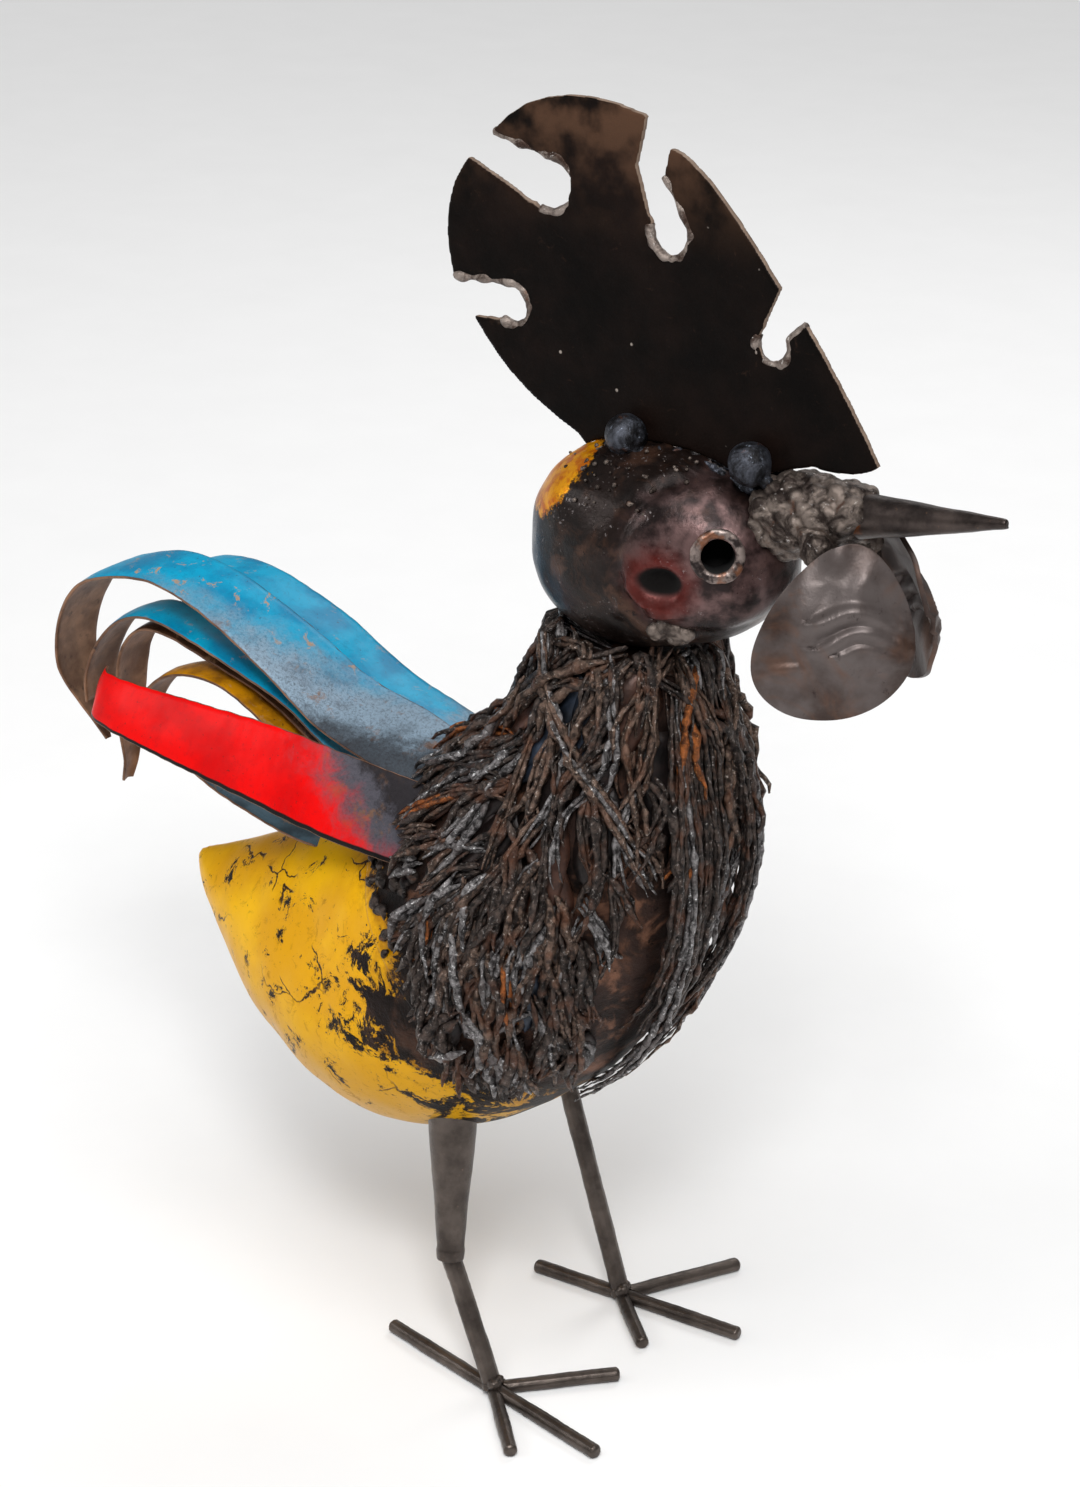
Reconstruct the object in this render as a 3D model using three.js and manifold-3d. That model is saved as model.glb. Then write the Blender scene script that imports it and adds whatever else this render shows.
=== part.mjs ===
// Scrap metal rooster sculpture, in millimetres.
// +X is forward (the beak), +Y is the bird's left, +Z is up, and it stands on its toes at z = 0.
// Sizes are set out from the point on the ground midway between the two ankles. At the end the
// whole bird is shifted so that its origin is the middle of its bounding box, on the ground.

import * as THREE from 'three';
import { mergeVertices } from 'three/addons/utils/BufferGeometryUtils.js';
import Module from 'manifold-3d';

const wasm = await Module();
wasm.setup();

// ---- driving dimensions -------------------------------------------------------------------

const GAP = 0.3;                    // clearance between pieces that are welded face to face

// Body: sections square to a spine that runs from the rump's point, through the belly, up the
// neck. Each is [x, z, half height across the spine, half width].
const BODY_SECTIONS = [
  [-187, 174, 0, 0],
  [-174, 169, 11, 12],
  [-150, 162, 25, 26],
  [-112, 151, 43, 46],
  [-64, 151, 58, 60],
  [-26, 182, 65, 62],
  [3, 220, 61, 58],
  [23, 254, 51, 49],
  [31, 287, 38, 38],
  [34, 325, 27, 28],
];
const SECTION_SIDES = 26;
const SECTIONS_PER_SPAN = 2;
const RUMP_END = 0.55;              // share of the spine that the painted rump sheet covers

// Head
const HEAD_CENTRE = [47, 0, 365];
const HEAD_HALF = [52, 34, 37.5];
const HEAD_FULLNESS = 2.35;         // 2 is a plain ellipsoid, higher is fuller
const JAW_RISE = 7;                 // how far the jaw rises towards the face's front
const EYE_SPOT = [86, 25, 376];
const EYE_TURN = 36;                // degrees that each eye faces forward
const EYE_LIFT = 14;                // degrees that it faces up
const EYE_HOLE = 6.2;
const EYE_RING = 9.4;
const EYE_RING_DEPTH = 2.4;         // how deep the ring is let into the head
const EYE_RING_PROUD = 0.8;
const EYE_PIT = 22;                 // how deep the hole runs into the head
const CLEAR = 10;                   // how far a cutting tool runs on past the surface

// Comb, beak and wattles
const COMB_THICK = 3;
const KNOB_RADIUS = 8;
const KNOB_SUNK = 1;                // how far a knob's ball reaches past the comb's middle
const KNOBS = { rear: [34, 405], front: [87, 405] };   // [x, z] of each pair
const BEAK_BASE = [119, 0, 391.5];
const BEAK_TIP = [185, 0, 402.5];
const BEAK_RADII = [9, 1.6];
const COLLAR_FROM = [90, 0, 386];
const COLLAR_TO = [129, 0, 392.5];
const COLLAR_PROFILE = [            // [radius, share of the length]
  [13, 0], [15.5, 0.25], [14, 0.5], [12, 0.7], [11, 0.85], [9.5, 0.999]];
const WATTLE_LENGTH = 62;
const WATTLE_WIDTH = 56;
const WATTLE_THICK = 2;
const WATTLE_DISH = 5;
const WATTLE_SPLAY = 33;            // degrees that each wattle turns out to the rear
const WATTLE_LEAN = 10;             // degrees that each leans out at its foot
const WATTLE_CENTRE = [132, 20, 357];
const WATTLE_TAPER = 0.22;          // how much narrower than its middle the top is
const WATTLE_WELD = [119, 12, 382];
const WATTLE_WELD_RADIUS = 8;

// Legs and feet
const LEG_RADIUS = 4;
const LEGS = {
  right: { top: [-24.1, -40.5, 56.0] },
  left: { top: [-40, 49, 122] },
};
const THIGH_BOTTOM = [-24.1, -40.5, 57.6];
const THIGH_TOP = [-32.3, -26.2, 126.4];
const THIGH_RADII = [5, 10.5];
const TOE_RADIUS = 3;
const TOE_FLAT = 0.4;               // depth of the flat that the ground has worn under a toe

// Tail and hackle
const FEATHER_THICK = 1.2;
const HACKLE_ROWS = [               // from and to are shares of the spine
  { from: 0.985, to: 0.86, turn: 0, places: [0, 1, 2, 3, 4, 5, 6, 7] },
  { from: 0.875, to: 0.74, turn: 0.5, places: [0, 1, 2, 3, 4, 5, 6, 7] },
  { from: 0.755, to: 0.645, turn: 0, places: [2, 3, 4, 5, 6] },
  { from: 0.66, to: 0.57, turn: 0.5, places: [1, 2, 5, 6] },
];
const HACKLES_PER_ROW = 8;
const HACKLE_LIFT = 1.1;            // from the body's skin to the middle of a plate
const HACKLE_THICK = 1.2;

// ---- solids and cuts ----------------------------------------------------------------------

function toSolid(geometry) {
  const bare = geometry.clone();
  bare.deleteAttribute('normal');
  bare.deleteAttribute('uv');
  const merged = mergeVertices(bare, 1e-4);
  return new wasm.Manifold(new wasm.Mesh({
    numProp: 3,
    vertProperties: new Float32Array(merged.attributes.position.array),
    triVerts: new Uint32Array(merged.index.array),
  }));
}

function toGeometry(solid) {
  const mesh = solid.getMesh();
  const geometry = new THREE.BufferGeometry();
  geometry.setAttribute('position', new THREE.BufferAttribute(mesh.vertProperties, 3));
  geometry.setIndex(new THREE.BufferAttribute(mesh.triVerts, 1));
  geometry.computeVertexNormals();
  return geometry;
}

function cut(geometry, ...tools) {
  let solid = toSolid(geometry);
  for (const tool of tools) solid = solid.subtract(toSolid(tool));
  return toGeometry(solid);
}

// Skins a row of rings, each a list of the same number of points that runs anticlockwise as
// seen from the row's far end, and closes both ends with a fan of triangles.
function loft(rings) {
  const sides = rings[0].length;
  const points = rings.flat();
  const faces = [];
  for (let row = 0; row < rings.length - 1; row++) {
    for (let i = 0; i < sides; i++) {
      const a = row * sides + i;
      const b = row * sides + (i + 1) % sides;
      faces.push(a, b, b + sides, a, b + sides, a + sides);
    }
  }
  for (const [ring, first] of [[rings[0], 0], [rings.at(-1), (rings.length - 1) * sides]]) {
    const middle = points.length;
    points.push(ring.reduce((sum, p) => sum.add(p), new THREE.Vector3()).divideScalar(sides));
    for (let i = 0; i < sides; i++) {
      const a = first + i;
      const b = first + (i + 1) % sides;
      faces.push(...(first === 0 ? [b, a, middle] : [a, b, middle]));
    }
  }
  const geometry = new THREE.BufferGeometry().setFromPoints(points);
  geometry.setIndex(faces);
  geometry.computeVertexNormals();
  return geometry;
}

const rooster = new THREE.Group();

function add(name, geometry, finish) {
  const mesh = new THREE.Mesh(geometry, new THREE.MeshStandardMaterial(finish));
  mesh.name = name;
  rooster.add(mesh);
  return mesh;
}

const BARE_STEEL = { color: 0x2b2320, roughness: 0.5, metalness: 0.85 };
const ROD_STEEL = { color: 0x3a342f, roughness: 0.5, metalness: 0.85 };
const WELD = { color: 0x3d3733, roughness: 0.65, metalness: 0.8 };
const BURNT_STEEL = { color: 0x1d1512, roughness: 0.4, metalness: 0.75 };
const YELLOW_PAINT = { color: 0xd6a100, roughness: 0.4, metalness: 0.1 };
const BLUE_PAINT = { color: 0x1c93cf, roughness: 0.45, metalness: 0.1 };
const AMBER_PAINT = { color: 0xa87406, roughness: 0.45, metalness: 0.1 };
const RED_PAINT = { color: 0xe80c0c, roughness: 0.35, metalness: 0.1 };

// ---- body: a painted rump sheet and a bare breast and neck sheet ---------------------------

const spine = new THREE.CatmullRomCurve3(
  BODY_SECTIONS.map(([x, z]) => new THREE.Vector3(x, 0, z)), false, 'catmullrom', 0.5);
const halves = new THREE.CatmullRomCurve3(
  BODY_SECTIONS.map(([, , h, w]) => new THREE.Vector3(h, w, 0)), false, 'catmullrom', 0.5);

// The point of the body's surface a share t along the spine, at an angle from the back line
// (0) round the bird's left side to the belly (pi), pushed out by grow.
function bodyPoint(t, angle, grow = 0) {
  const centre = spine.getPoint(t);
  const along = spine.getTangent(t);
  const up = new THREE.Vector3(-along.z, 0, along.x);
  const half = halves.getPoint(t);
  return centre
    .addScaledVector(up, Math.cos(angle) * (half.x + grow))
    .add(new THREE.Vector3(0, Math.sin(angle) * (half.y + grow), 0));
}

function bodyPart(from, to, grow = 0) {
  const steps = Math.round((to - from) * (BODY_SECTIONS.length - 1) * SECTIONS_PER_SPAN);
  const rings = [];
  for (let i = 0; i <= steps; i++) {
    const t = Math.max(from + (to - from) * i / steps, 0.012);
    const ring = [];
    for (let k = 0; k < SECTION_SIDES; k++) {
      ring.push(bodyPoint(t, -2 * Math.PI * k / SECTION_SIDES, grow));
    }
    rings.push(ring);
  }
  return loft(rings);
}

const bodyTools = [bodyPart(0, RUMP_END, GAP), bodyPart(RUMP_END, 1, GAP)];
const headTool = headShape(GAP);

add('rump_shell', bodyPart(0, RUMP_END - 0.001), YELLOW_PAINT);
add('breast_and_neck_shell', cut(bodyPart(RUMP_END + 0.001, 1), headTool), BURNT_STEEL);

// ---- head: a hammered dome with an eye hole and a worn ring on each side -------------------

function headShape(grow) {
  const geometry = new THREE.SphereGeometry(1, 24, 16);
  const place = geometry.attributes.position;
  for (let i = 0; i < place.count; i++) {
    const p = new THREE.Vector3().fromBufferAttribute(place, i);
    const reach = [p.x, p.y, p.z].reduce((sum, v) => sum + Math.abs(v) ** HEAD_FULLNESS, 0);
    p.multiplyScalar(reach ** (-1 / HEAD_FULLNESS));
    place.setXYZ(i,
      HEAD_CENTRE[0] + p.y * (HEAD_HALF[0] + grow),
      HEAD_CENTRE[1] + p.z * (HEAD_HALF[1] + grow),
      HEAD_CENTRE[2] + p.x * (HEAD_HALF[2] + grow) + JAW_RISE * p.y * Math.max(0, -p.x));
  }
  return geometry;
}

// A cylinder on one eye's line of sight, side -1 on the right and 1 on the left, running from
// `inside` below the eye's spot to `outside` above it.
function eyeCylinder(side, radius, inside, outside, sides = 18) {
  const turn = THREE.MathUtils.degToRad(EYE_TURN);
  const lift = THREE.MathUtils.degToRad(EYE_LIFT);
  const sight = new THREE.Vector3(
    Math.sin(turn) * Math.cos(lift), side * Math.cos(turn) * Math.cos(lift), Math.sin(lift));
  const geometry = new THREE.CylinderGeometry(radius, radius, inside + outside, sides);
  geometry.translate(0, (outside - inside) / 2, 0);
  geometry.applyQuaternion(
    new THREE.Quaternion().setFromUnitVectors(new THREE.Vector3(0, 1, 0), sight));
  geometry.translate(EYE_SPOT[0], side * EYE_SPOT[1], EYE_SPOT[2]);
  return geometry;
}

add('head_shell', cut(headShape(0),
  ...[-1, 1].flatMap((side) => [
    eyeCylinder(side, EYE_HOLE, EYE_PIT, CLEAR),
    eyeCylinder(side, EYE_RING + GAP, EYE_RING_DEPTH, CLEAR)])), BURNT_STEEL);

for (const [side, word] of [[-1, 'right'], [1, 'left']]) {
  add(`eye_ring_${word}`, cut(
    eyeCylinder(side, EYE_RING, EYE_RING_DEPTH - GAP, EYE_RING_PROUD),
    eyeCylinder(side, EYE_HOLE, CLEAR, CLEAR)), ROD_STEEL);
}

// ---- comb: a thick torch-cut plate with four burnt-out notches -----------------------------

// Each outline point is [x, z] on the plate's face. A notch is a round hole that a narrower
// throat opens to the edge: the outline runs round the hole, then out to the second lip.
function combOutline() {
  const shape = new THREE.Shape();
  shape.moveTo(9, 399);
  shape.quadraticCurveTo(-22, 412, -38, 435);
  notch(shape, [-21, 442.5], 7.5, -125, 100, [-47, 449]);
  shape.quadraticCurveTo(-55, 476, -40, 494);
  notch(shape, [-4, 489.5], 10, -115, 100, [-29, 505]);
  shape.bezierCurveTo(-14, 522, 8, 527, 37, 520);
  shape.lineTo(33, 502);
  notch(shape, [47.5, 480], 8.5, 165, 395, [45, 500]);
  shape.lineTo(47, 510);
  shape.quadraticCurveTo(60, 510, 93, 468);
  notch(shape, [91, 447.5], 6.5, 155, 385, [104, 457]);
  shape.quadraticCurveTo(119, 438, 135, 412);
  shape.quadraticCurveTo(126, 405, 108, 407);
  shape.lineTo(88, 400);
  shape.lineTo(60, 392);
  shape.lineTo(20, 388);
  return shape;
}

function notch(shape, [x, z], radius, from, to, lip) {
  shape.absarc(x, z, radius, THREE.MathUtils.degToRad(from), THREE.MathUtils.degToRad(to));
  shape.lineTo(...lip);
}

function combShape(grow) {
  const geometry = new THREE.ExtrudeGeometry(combOutline(),
    { depth: COMB_THICK + 2 * grow, bevelEnabled: false, curveSegments: 7 });
  geometry.rotateX(Math.PI / 2);
  geometry.translate(0, COMB_THICK / 2 + grow, 0);
  return geometry;
}

add('comb_plate', cut(combShape(0), headTool), BURNT_STEEL);

function knobShape(end, side, grow) {
  const [x, z] = KNOBS[end];
  const ball = new THREE.SphereGeometry(KNOB_RADIUS + grow, 12, 8);
  ball.translate(x, side * (KNOB_RADIUS - KNOB_SUNK), z);
  return ball;
}

for (const end of Object.keys(KNOBS)) {
  for (const [side, word] of [[-1, 'right'], [1, 'left']]) {
    add(`comb_knob_${end}_${word}`, cut(knobShape(end, side, 0), headTool, combShape(GAP)), WELD);
  }
}

// ---- beak: a rolled cone in a rough collar of weld -----------------------------------------

// A solid turned about the line between two points; profile is [radius, share of the length].
function turned(from, to, profile, sides) {
  const start = new THREE.Vector3(...from);
  const way = new THREE.Vector3(...to).sub(start);
  const outline = profile.map(([radius, share]) => new THREE.Vector2(radius, share * way.length()));
  const geometry = new THREE.LatheGeometry(outline, sides);
  geometry.applyQuaternion(new THREE.Quaternion().setFromUnitVectors(
    new THREE.Vector3(0, 1, 0), way.clone().normalize()));
  geometry.translate(...start);
  return geometry;
}

function beakShape(grow) {
  const [base, tip] = BEAK_RADII;
  const past = grow / 60;
  return turned(BEAK_BASE, BEAK_TIP, [
    [0, -past], [base + grow, -past], [base * 0.78 + grow, 0.3], [base * 0.5 + grow, 0.65],
    [tip + grow, 0.97], [tip * 0.6 + grow, 1], [0, 1 + past]], 14);
}

const beakTool = beakShape(GAP);
add('beak_cone', beakShape(0), ROD_STEEL);

function collarShape(grow) {
  const outline = COLLAR_PROFILE.map(([radius, share]) => [radius + grow, share]);
  const end = 1 + grow / 30;
  return turned(COLLAR_FROM, COLLAR_TO, [[0, 0], ...outline, [outline.at(-1)[0], end], [0, end]], 14);
}

add('beak_weld_collar', cut(collarShape(0), headTool, beakTool, combShape(GAP),
  knobShape('front', -1, GAP), knobShape('front', 1, GAP)), WELD);

// ---- wattles: two dished ovals of sheet, hung from the collar by a lump of weld -------------

// The left wattle for side 1, the right for -1: an oval narrower at its top, dished outwards.
function wattleShape(side, grow) {
  const half = WATTLE_THICK / 2 + grow;
  const dish = [[0, 1], [0.5, 0.72], [0.85, 0.2], [1 + grow * 2 / WATTLE_LENGTH, 0]];
  const geometry = new THREE.LatheGeometry([
    ...dish.map(([r, h]) => new THREE.Vector2(r, h * WATTLE_DISH + half)),
    ...dish.reverse().map(([r, h]) => new THREE.Vector2(r, h * WATTLE_DISH - half))], 22);
  const place = geometry.attributes.position;
  for (let i = 0; i < place.count; i++) {
    const high = place.getZ(i);
    place.setXYZ(i,
      place.getX(i) * WATTLE_WIDTH / 2 * (1 - WATTLE_TAPER * high),
      side * place.getY(i),
      high * WATTLE_LENGTH / 2);
  }
  if (side > 0) geometry.index.array.reverse();
  geometry.rotateX(THREE.MathUtils.degToRad(side * WATTLE_LEAN));
  geometry.rotateZ(THREE.MathUtils.degToRad(-side * WATTLE_SPLAY));
  geometry.translate(WATTLE_CENTRE[0], side * WATTLE_CENTRE[1], WATTLE_CENTRE[2]);
  return geometry;
}

for (const [side, word] of [[-1, 'right'], [1, 'left']]) {
  add(`wattle_${word}`, cut(wattleShape(side, 0), headTool), ROD_STEEL);
  const lump = new THREE.SphereGeometry(WATTLE_WELD_RADIUS, 10, 8);
  lump.scale(1.2, 0.9, 1);
  lump.translate(WATTLE_WELD[0], side * WATTLE_WELD[1], WATTLE_WELD[2]);
  add(`wattle_weld_${word}`,
    cut(lump, headTool, beakTool, collarShape(GAP), wattleShape(side, GAP)), WELD);
}

// ---- tail: seven strips of painted sheet, bent over and welded to the back -----------------

// A strip of sheet along a route of [x, y, z] points. `across` is the way its width points at
// its root and at its tip, and widths are spaced evenly from root to tip.
function ribbon(route, across, widths, thick, steps) {
  const path = new THREE.CatmullRomCurve3(route.map((p) => new THREE.Vector3(...p)));
  const [rootAcross, tipAcross] = across.map((v) => new THREE.Vector3(...v));
  const rings = [];
  for (let i = 0; i <= steps; i++) {
    const t = i / steps;
    const along = path.getTangentAt(t);
    const wide = rootAcross.clone().lerp(tipAcross, t);
    wide.addScaledVector(along, -wide.dot(along)).normalize();
    const out = along.clone().cross(wide);
    const place = t * (widths.length - 1);
    const low = Math.min(Math.floor(place), widths.length - 2);
    const half = THREE.MathUtils.lerp(widths[low], widths[low + 1], place - low) / 2;
    rings.push([[-1, -1], [1, -1], [1, 1], [-1, 1]].map(([w, h]) => path.getPointAt(t)
      .addScaledVector(wide, w * half).addScaledVector(out, h * thick / 2)));
  }
  return loft(rings);
}

const FEATHERS = {
  tail_feather_blue_large: [BLUE_PAINT,
    [[-34, -13, 250], [-61, -15, 262], [-92, -15, 271], [-115, -15, 284], [-136, -15, 295],
      [-158, -15, 304], [-182, -15, 308], [-205, -15, 303], [-221, -15, 295], [-232, -15, 280],
      [-237, -15, 262], [-235, -15, 247], [-228, -15, 234], [-221, -15, 222]],
    [[0, 0.88, 0.47], [0, 1, -0.15]], [34, 34, 33, 31, 29, 28, 27, 24, 3]],
  tail_feather_blue_back: [BLUE_PAINT,
    [[-40, 17, 248], [-62, 16, 257], [-85, 16, 264], [-107, 16, 274], [-125, 16, 284],
      [-148, 16, 293], [-170, 16, 298], [-190, 16, 297], [-205, 16, 291]],
    [[0, 1, 0], [0, 1, 0]], [30, 30, 29, 28, 27]],
  tail_feather_blue_small: [BLUE_PAINT,
    [[-50, -12, 230], [-75, -14, 246], [-95, -15, 258], [-113, -15, 269], [-130, -15, 275],
      [-150, -15, 281], [-170, -15, 286], [-187, -15, 288], [-201, -15, 284], [-212, -15, 275],
      [-220, -15, 263], [-224, -15, 251], [-224, -15, 241]],
    [[0, 1, 0.2], [0, 1, 0]], [22, 22, 21, 20, 19]],
  tail_feather_brown: [BARE_STEEL,
    [[-60, -10, 218], [-85, -10, 237], [-105, -10, 252], [-130, -10, 266], [-160, -10, 275],
      [-182, -10, 280], [-197, -10, 278], [-207, -10, 267], [-211, -10, 252], [-213, -10, 232],
      [-213, -10, 215], [-216, -10, 203]],
    [[0, 1, 0], [0, 1, 0]], [20, 20, 20, 20, 20, 18, 6]],
  tail_feather_amber: [AMBER_PAINT,
    [[-64, -14, 204], [-90, -15, 226], [-108, -15, 243], [-124, -15, 256], [-145, -15, 266],
      [-163, -15, 268], [-178, -15, 264], [-189, -15, 256], [-196, -15, 246], [-198, -15, 237]],
    [[0, 1, 0], [0, 1, 0]], [20, 20, 20, 19, 17]],
  tail_feather_red: [RED_PAINT,
    [[-40, -38, 241], [-58, -40, 243], [-80, -41, 245], [-110, -42, 249], [-140, -42, 251],
      [-170, -42, 253], [-190, -41, 254], [-203, -37, 254], [-210, -29, 254]],
    [[0, 0.42, 0.91], [0, 0.5, 0.87]], [33, 34, 33, 30, 26, 22, 18]],
  tail_feather_grey_blue: [BLUE_PAINT,
    [[-66, -7, 200], [-95, -8, 206], [-118, -8, 208], [-140, -8, 212], [-162, -8, 218],
      [-182, -8, 226], [-196, -8, 234]],
    [[0, 1, 0], [0, 1, 0]], [22, 24, 24, 22, 18]],
};

for (const [name, [finish, route, across, widths]] of Object.entries(FEATHERS)) {
  add(name, cut(ribbon(route, across, widths, FEATHER_THICK, 20), ...bodyTools), finish);
}

// ---- legs and feet: round bar, with a rolled cone for the right thigh -----------------------

function rod(from, to, radius, sides = 10) {
  const length = Math.hypot(...to.map((v, i) => v - from[i]));
  const round = Math.min(1 / length, 0.2);
  return turned(from, to, [[0, 0], [radius - 1, 0], [radius, round], [radius, 1 - round],
    [radius - 1, 1], [0, 1]], sides);
}

// Two toes of each foot are one straight bar; the inner and outer toes are welded to its side.
// Each toe is [length, degrees from straight ahead towards the bird's left].
const FEET = {
  right: { ankle: [-1, -43], back: [62, 169.4], middle: [60, -10.6], inner: [52, 46.9],
    outer: [44, -44.1] },
  left: { ankle: [2, 43], back: [42, 184.3], middle: [57, 4.3], inner: [38, -41.4],
    outer: [56, 60.5] },
};
const TOE_HEIGHT = TOE_RADIUS - TOE_FLAT;

function toeEnd([x, y], [length, heading]) {
  const turn = THREE.MathUtils.degToRad(heading);
  return [x + length * Math.cos(turn), y + length * Math.sin(turn), TOE_HEIGHT];
}

const ground = new THREE.BoxGeometry(400, 400, 20);
ground.translate(0, 0, -10);

for (const [word, foot] of Object.entries(FEET)) {
  const ankle = [...foot.ankle, TOE_HEIGHT];
  const bar = rod(toeEnd(foot.ankle, foot.back), toeEnd(foot.ankle, foot.middle), TOE_RADIUS);
  const barTool = rod(toeEnd(foot.ankle, foot.back), toeEnd(foot.ankle, foot.middle),
    TOE_RADIUS + GAP);
  add(`foot_bar_${word}`, cut(bar, ground), ROD_STEEL);
  const shin = LEGS[word];
  const foreFoot = [foot.ankle[0], foot.ankle[1], TOE_HEIGHT + 1];
  add(`leg_rod_${word}`, cut(rod(foreFoot, shin.top, LEG_RADIUS), barTool, ground, ...bodyTools),
    ROD_STEEL);
  const legTool = rod(foreFoot, shin.top, LEG_RADIUS + GAP);
  for (const toe of ['inner', 'outer']) {
    const end = toeEnd(foot.ankle, foot[toe]);
    add(`toe_${toe}_${word}`, cut(rod(ankle, end, TOE_RADIUS), barTool, legTool, ground), ROD_STEEL);
  }
}

const [thighLow, thighHigh] = THIGH_RADII;
add('thigh_cone_right', cut(turned(THIGH_BOTTOM, THIGH_TOP, [[0, 0], [thighLow, 0],
  [thighLow + 0.4, 0.03], [thighHigh, 0.9], [thighHigh, 1], [0, 1]], 18), ...bodyTools), ROD_STEEL);

// ---- hackle: rows of larger leaf-shaped plates down the neck -------------------------------

let hackleCount = 0;
for (const { from, to, turn, places } of HACKLE_ROWS) {
  for (const place of places) {
    const angle = 2 * Math.PI * (place + turn) / HACKLES_PER_ROW;
    const route = [];
    for (let i = 0; i <= 6; i++) {
      const t = THREE.MathUtils.lerp(from, to, i / 6);
      route.push(bodyPoint(t, angle, HACKLE_LIFT).toArray());
    }
    const across = bodyPoint(from, angle + 0.01).sub(bodyPoint(from, angle - 0.01)).toArray();
    hackleCount += 1;
    add(`hackle_feather_${String(hackleCount).padStart(2, '0')}`, cut(
      ribbon(route, [across, across], [8, 13, 14, 12, 8, 2], HACKLE_THICK, 8),
      ...bodyTools, headTool), BURNT_STEEL);
  }
}

// ---- origin: the middle of the bounding box, on the ground ---------------------------------

const box = new THREE.Box3().setFromObject(rooster);
const middle = box.getCenter(new THREE.Vector3());
rooster.position.set(-middle.x, -middle.y, -box.min.z);
rooster.updateMatrixWorld(true);

export default rooster;
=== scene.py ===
import math
import random

import bpy
from mathutils import Matrix, Vector, noise


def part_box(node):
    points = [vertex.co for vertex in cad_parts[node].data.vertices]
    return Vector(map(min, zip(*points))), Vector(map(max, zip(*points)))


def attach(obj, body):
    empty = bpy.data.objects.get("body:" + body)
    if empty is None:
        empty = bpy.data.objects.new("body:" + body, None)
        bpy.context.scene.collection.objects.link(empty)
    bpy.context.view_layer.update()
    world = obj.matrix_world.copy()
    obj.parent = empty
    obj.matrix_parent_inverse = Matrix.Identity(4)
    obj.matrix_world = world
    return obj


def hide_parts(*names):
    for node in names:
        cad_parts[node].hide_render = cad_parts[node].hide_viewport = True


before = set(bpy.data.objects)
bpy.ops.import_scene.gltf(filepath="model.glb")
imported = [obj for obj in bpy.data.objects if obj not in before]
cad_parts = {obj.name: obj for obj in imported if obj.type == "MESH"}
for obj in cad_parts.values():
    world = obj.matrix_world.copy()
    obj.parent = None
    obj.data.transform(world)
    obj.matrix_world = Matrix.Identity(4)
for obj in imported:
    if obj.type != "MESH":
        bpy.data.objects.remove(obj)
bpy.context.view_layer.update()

# ---- Body ---------------------------------------------------------------------------------
# A hollow body of old drum sheet, dished over a former and welded edge to edge. The rump keeps
# the drum's yellow paint. The breast and neck are scorched bare by the welding on them, and
# the paint is burnt off in a ragged line where the two meet.

MM = 0.001
BEAK_REACH = 185.16                 # from the point midway between the ankles to the beak's tip
comb_low, comb_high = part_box("comb_plate")
ankles = Vector((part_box("beak_cone")[1].x - BEAK_REACH * MM, (comb_low.y + comb_high.y) / 2, 0))


def at(x, y, z):
    """A place, given in millimetres from the point on the ground midway between the ankles."""
    return ankles + Vector((x, y, z)) * MM


def smooth_line(points, share):
    """The point a share of the way along a smooth line through the points."""
    place = min(max(share, 0), 1) * (len(points) - 1)
    i = min(int(place), len(points) - 2)
    f = place - i
    here, after = Vector(points[i]), Vector(points[i + 1])
    before = Vector(points[i - 1]) if i > 0 else 2 * here - after
    later = Vector(points[i + 2]) if i + 2 < len(points) else 2 * after - here
    leave, arrive = (after - before) / 2, (later - here) / 2
    return ((2 * f**3 - 3 * f**2 + 1) * here + (f**3 - 2 * f**2 + f) * leave
            + (3 * f**2 - 2 * f**3) * after + (f**3 - f**2) * arrive)


# Sections square to the spine, from the rump's point to the neck: [x, z, half height, half width]
BODY = [[-187, 174, 0, 0], [-174, 169, 11, 12], [-150, 162, 25, 26], [-112, 151, 43, 46],
        [-64, 151, 58, 60], [-26, 182, 65, 62], [3, 220, 61, 58], [23, 254, 51, 49],
        [31, 287, 38, 38], [34, 325, 27, 28]]
RUMP_END = 0.55                     # share of the spine that the painted sheet covers
TIP = 0.012                         # share of it where the skin starts, at the blunt point
BELLY = math.pi                     # the turn round the spine, from the back, to the belly line
SEAM_HIGH, SEAM_WIDE, GIRTH = 1.3, 2.6, 40      # the welded seams, and the body's usual radius
POINT_LENGTH = 26                   # the stretch of the rump over which its point stays sharp


def body_point(share, turn, out=0):
    """A point of the body's skin, or `out` millimetres off it."""
    x, z, high, wide = smooth_line(BODY, share)
    ahead, behind = smooth_line(BODY, share + 0.002), smooth_line(BODY, share - 0.002)
    way = Vector((ahead[0] - behind[0], 0, ahead[1] - behind[1])).normalized()
    up = Vector((-way.z, 0, way.x))
    return (at(x, 0, z) + up * (math.cos(turn) * (high + out) * MM)
            + Vector((0, math.sin(turn) * (wide + out) * MM, 0)))


def pick(*pieces):
    """Selects only these pieces, the first of them active."""
    bpy.ops.object.select_all(action="DESELECT")
    for piece in pieces:
        piece.select_set(True)
    bpy.context.view_layer.objects.active = pieces[0]


def edit(piece, *steps):
    """Runs edit mode operators on the whole mesh of a piece."""
    pick(piece)
    bpy.ops.object.mode_set(mode="EDIT")
    bpy.ops.mesh.select_all(action="SELECT")
    for step, settings in steps:
        step(**settings)
    bpy.ops.object.mode_set(mode="OBJECT")


def work(piece, kind, **settings):
    """Adds a modifier and applies it."""
    pick(piece)
    modifier = piece.modifiers.new(kind.lower(), kind)
    for name, value in settings.items():
        setattr(modifier, name, value)
    bpy.ops.object.modifier_apply(modifier=modifier.name)


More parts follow.
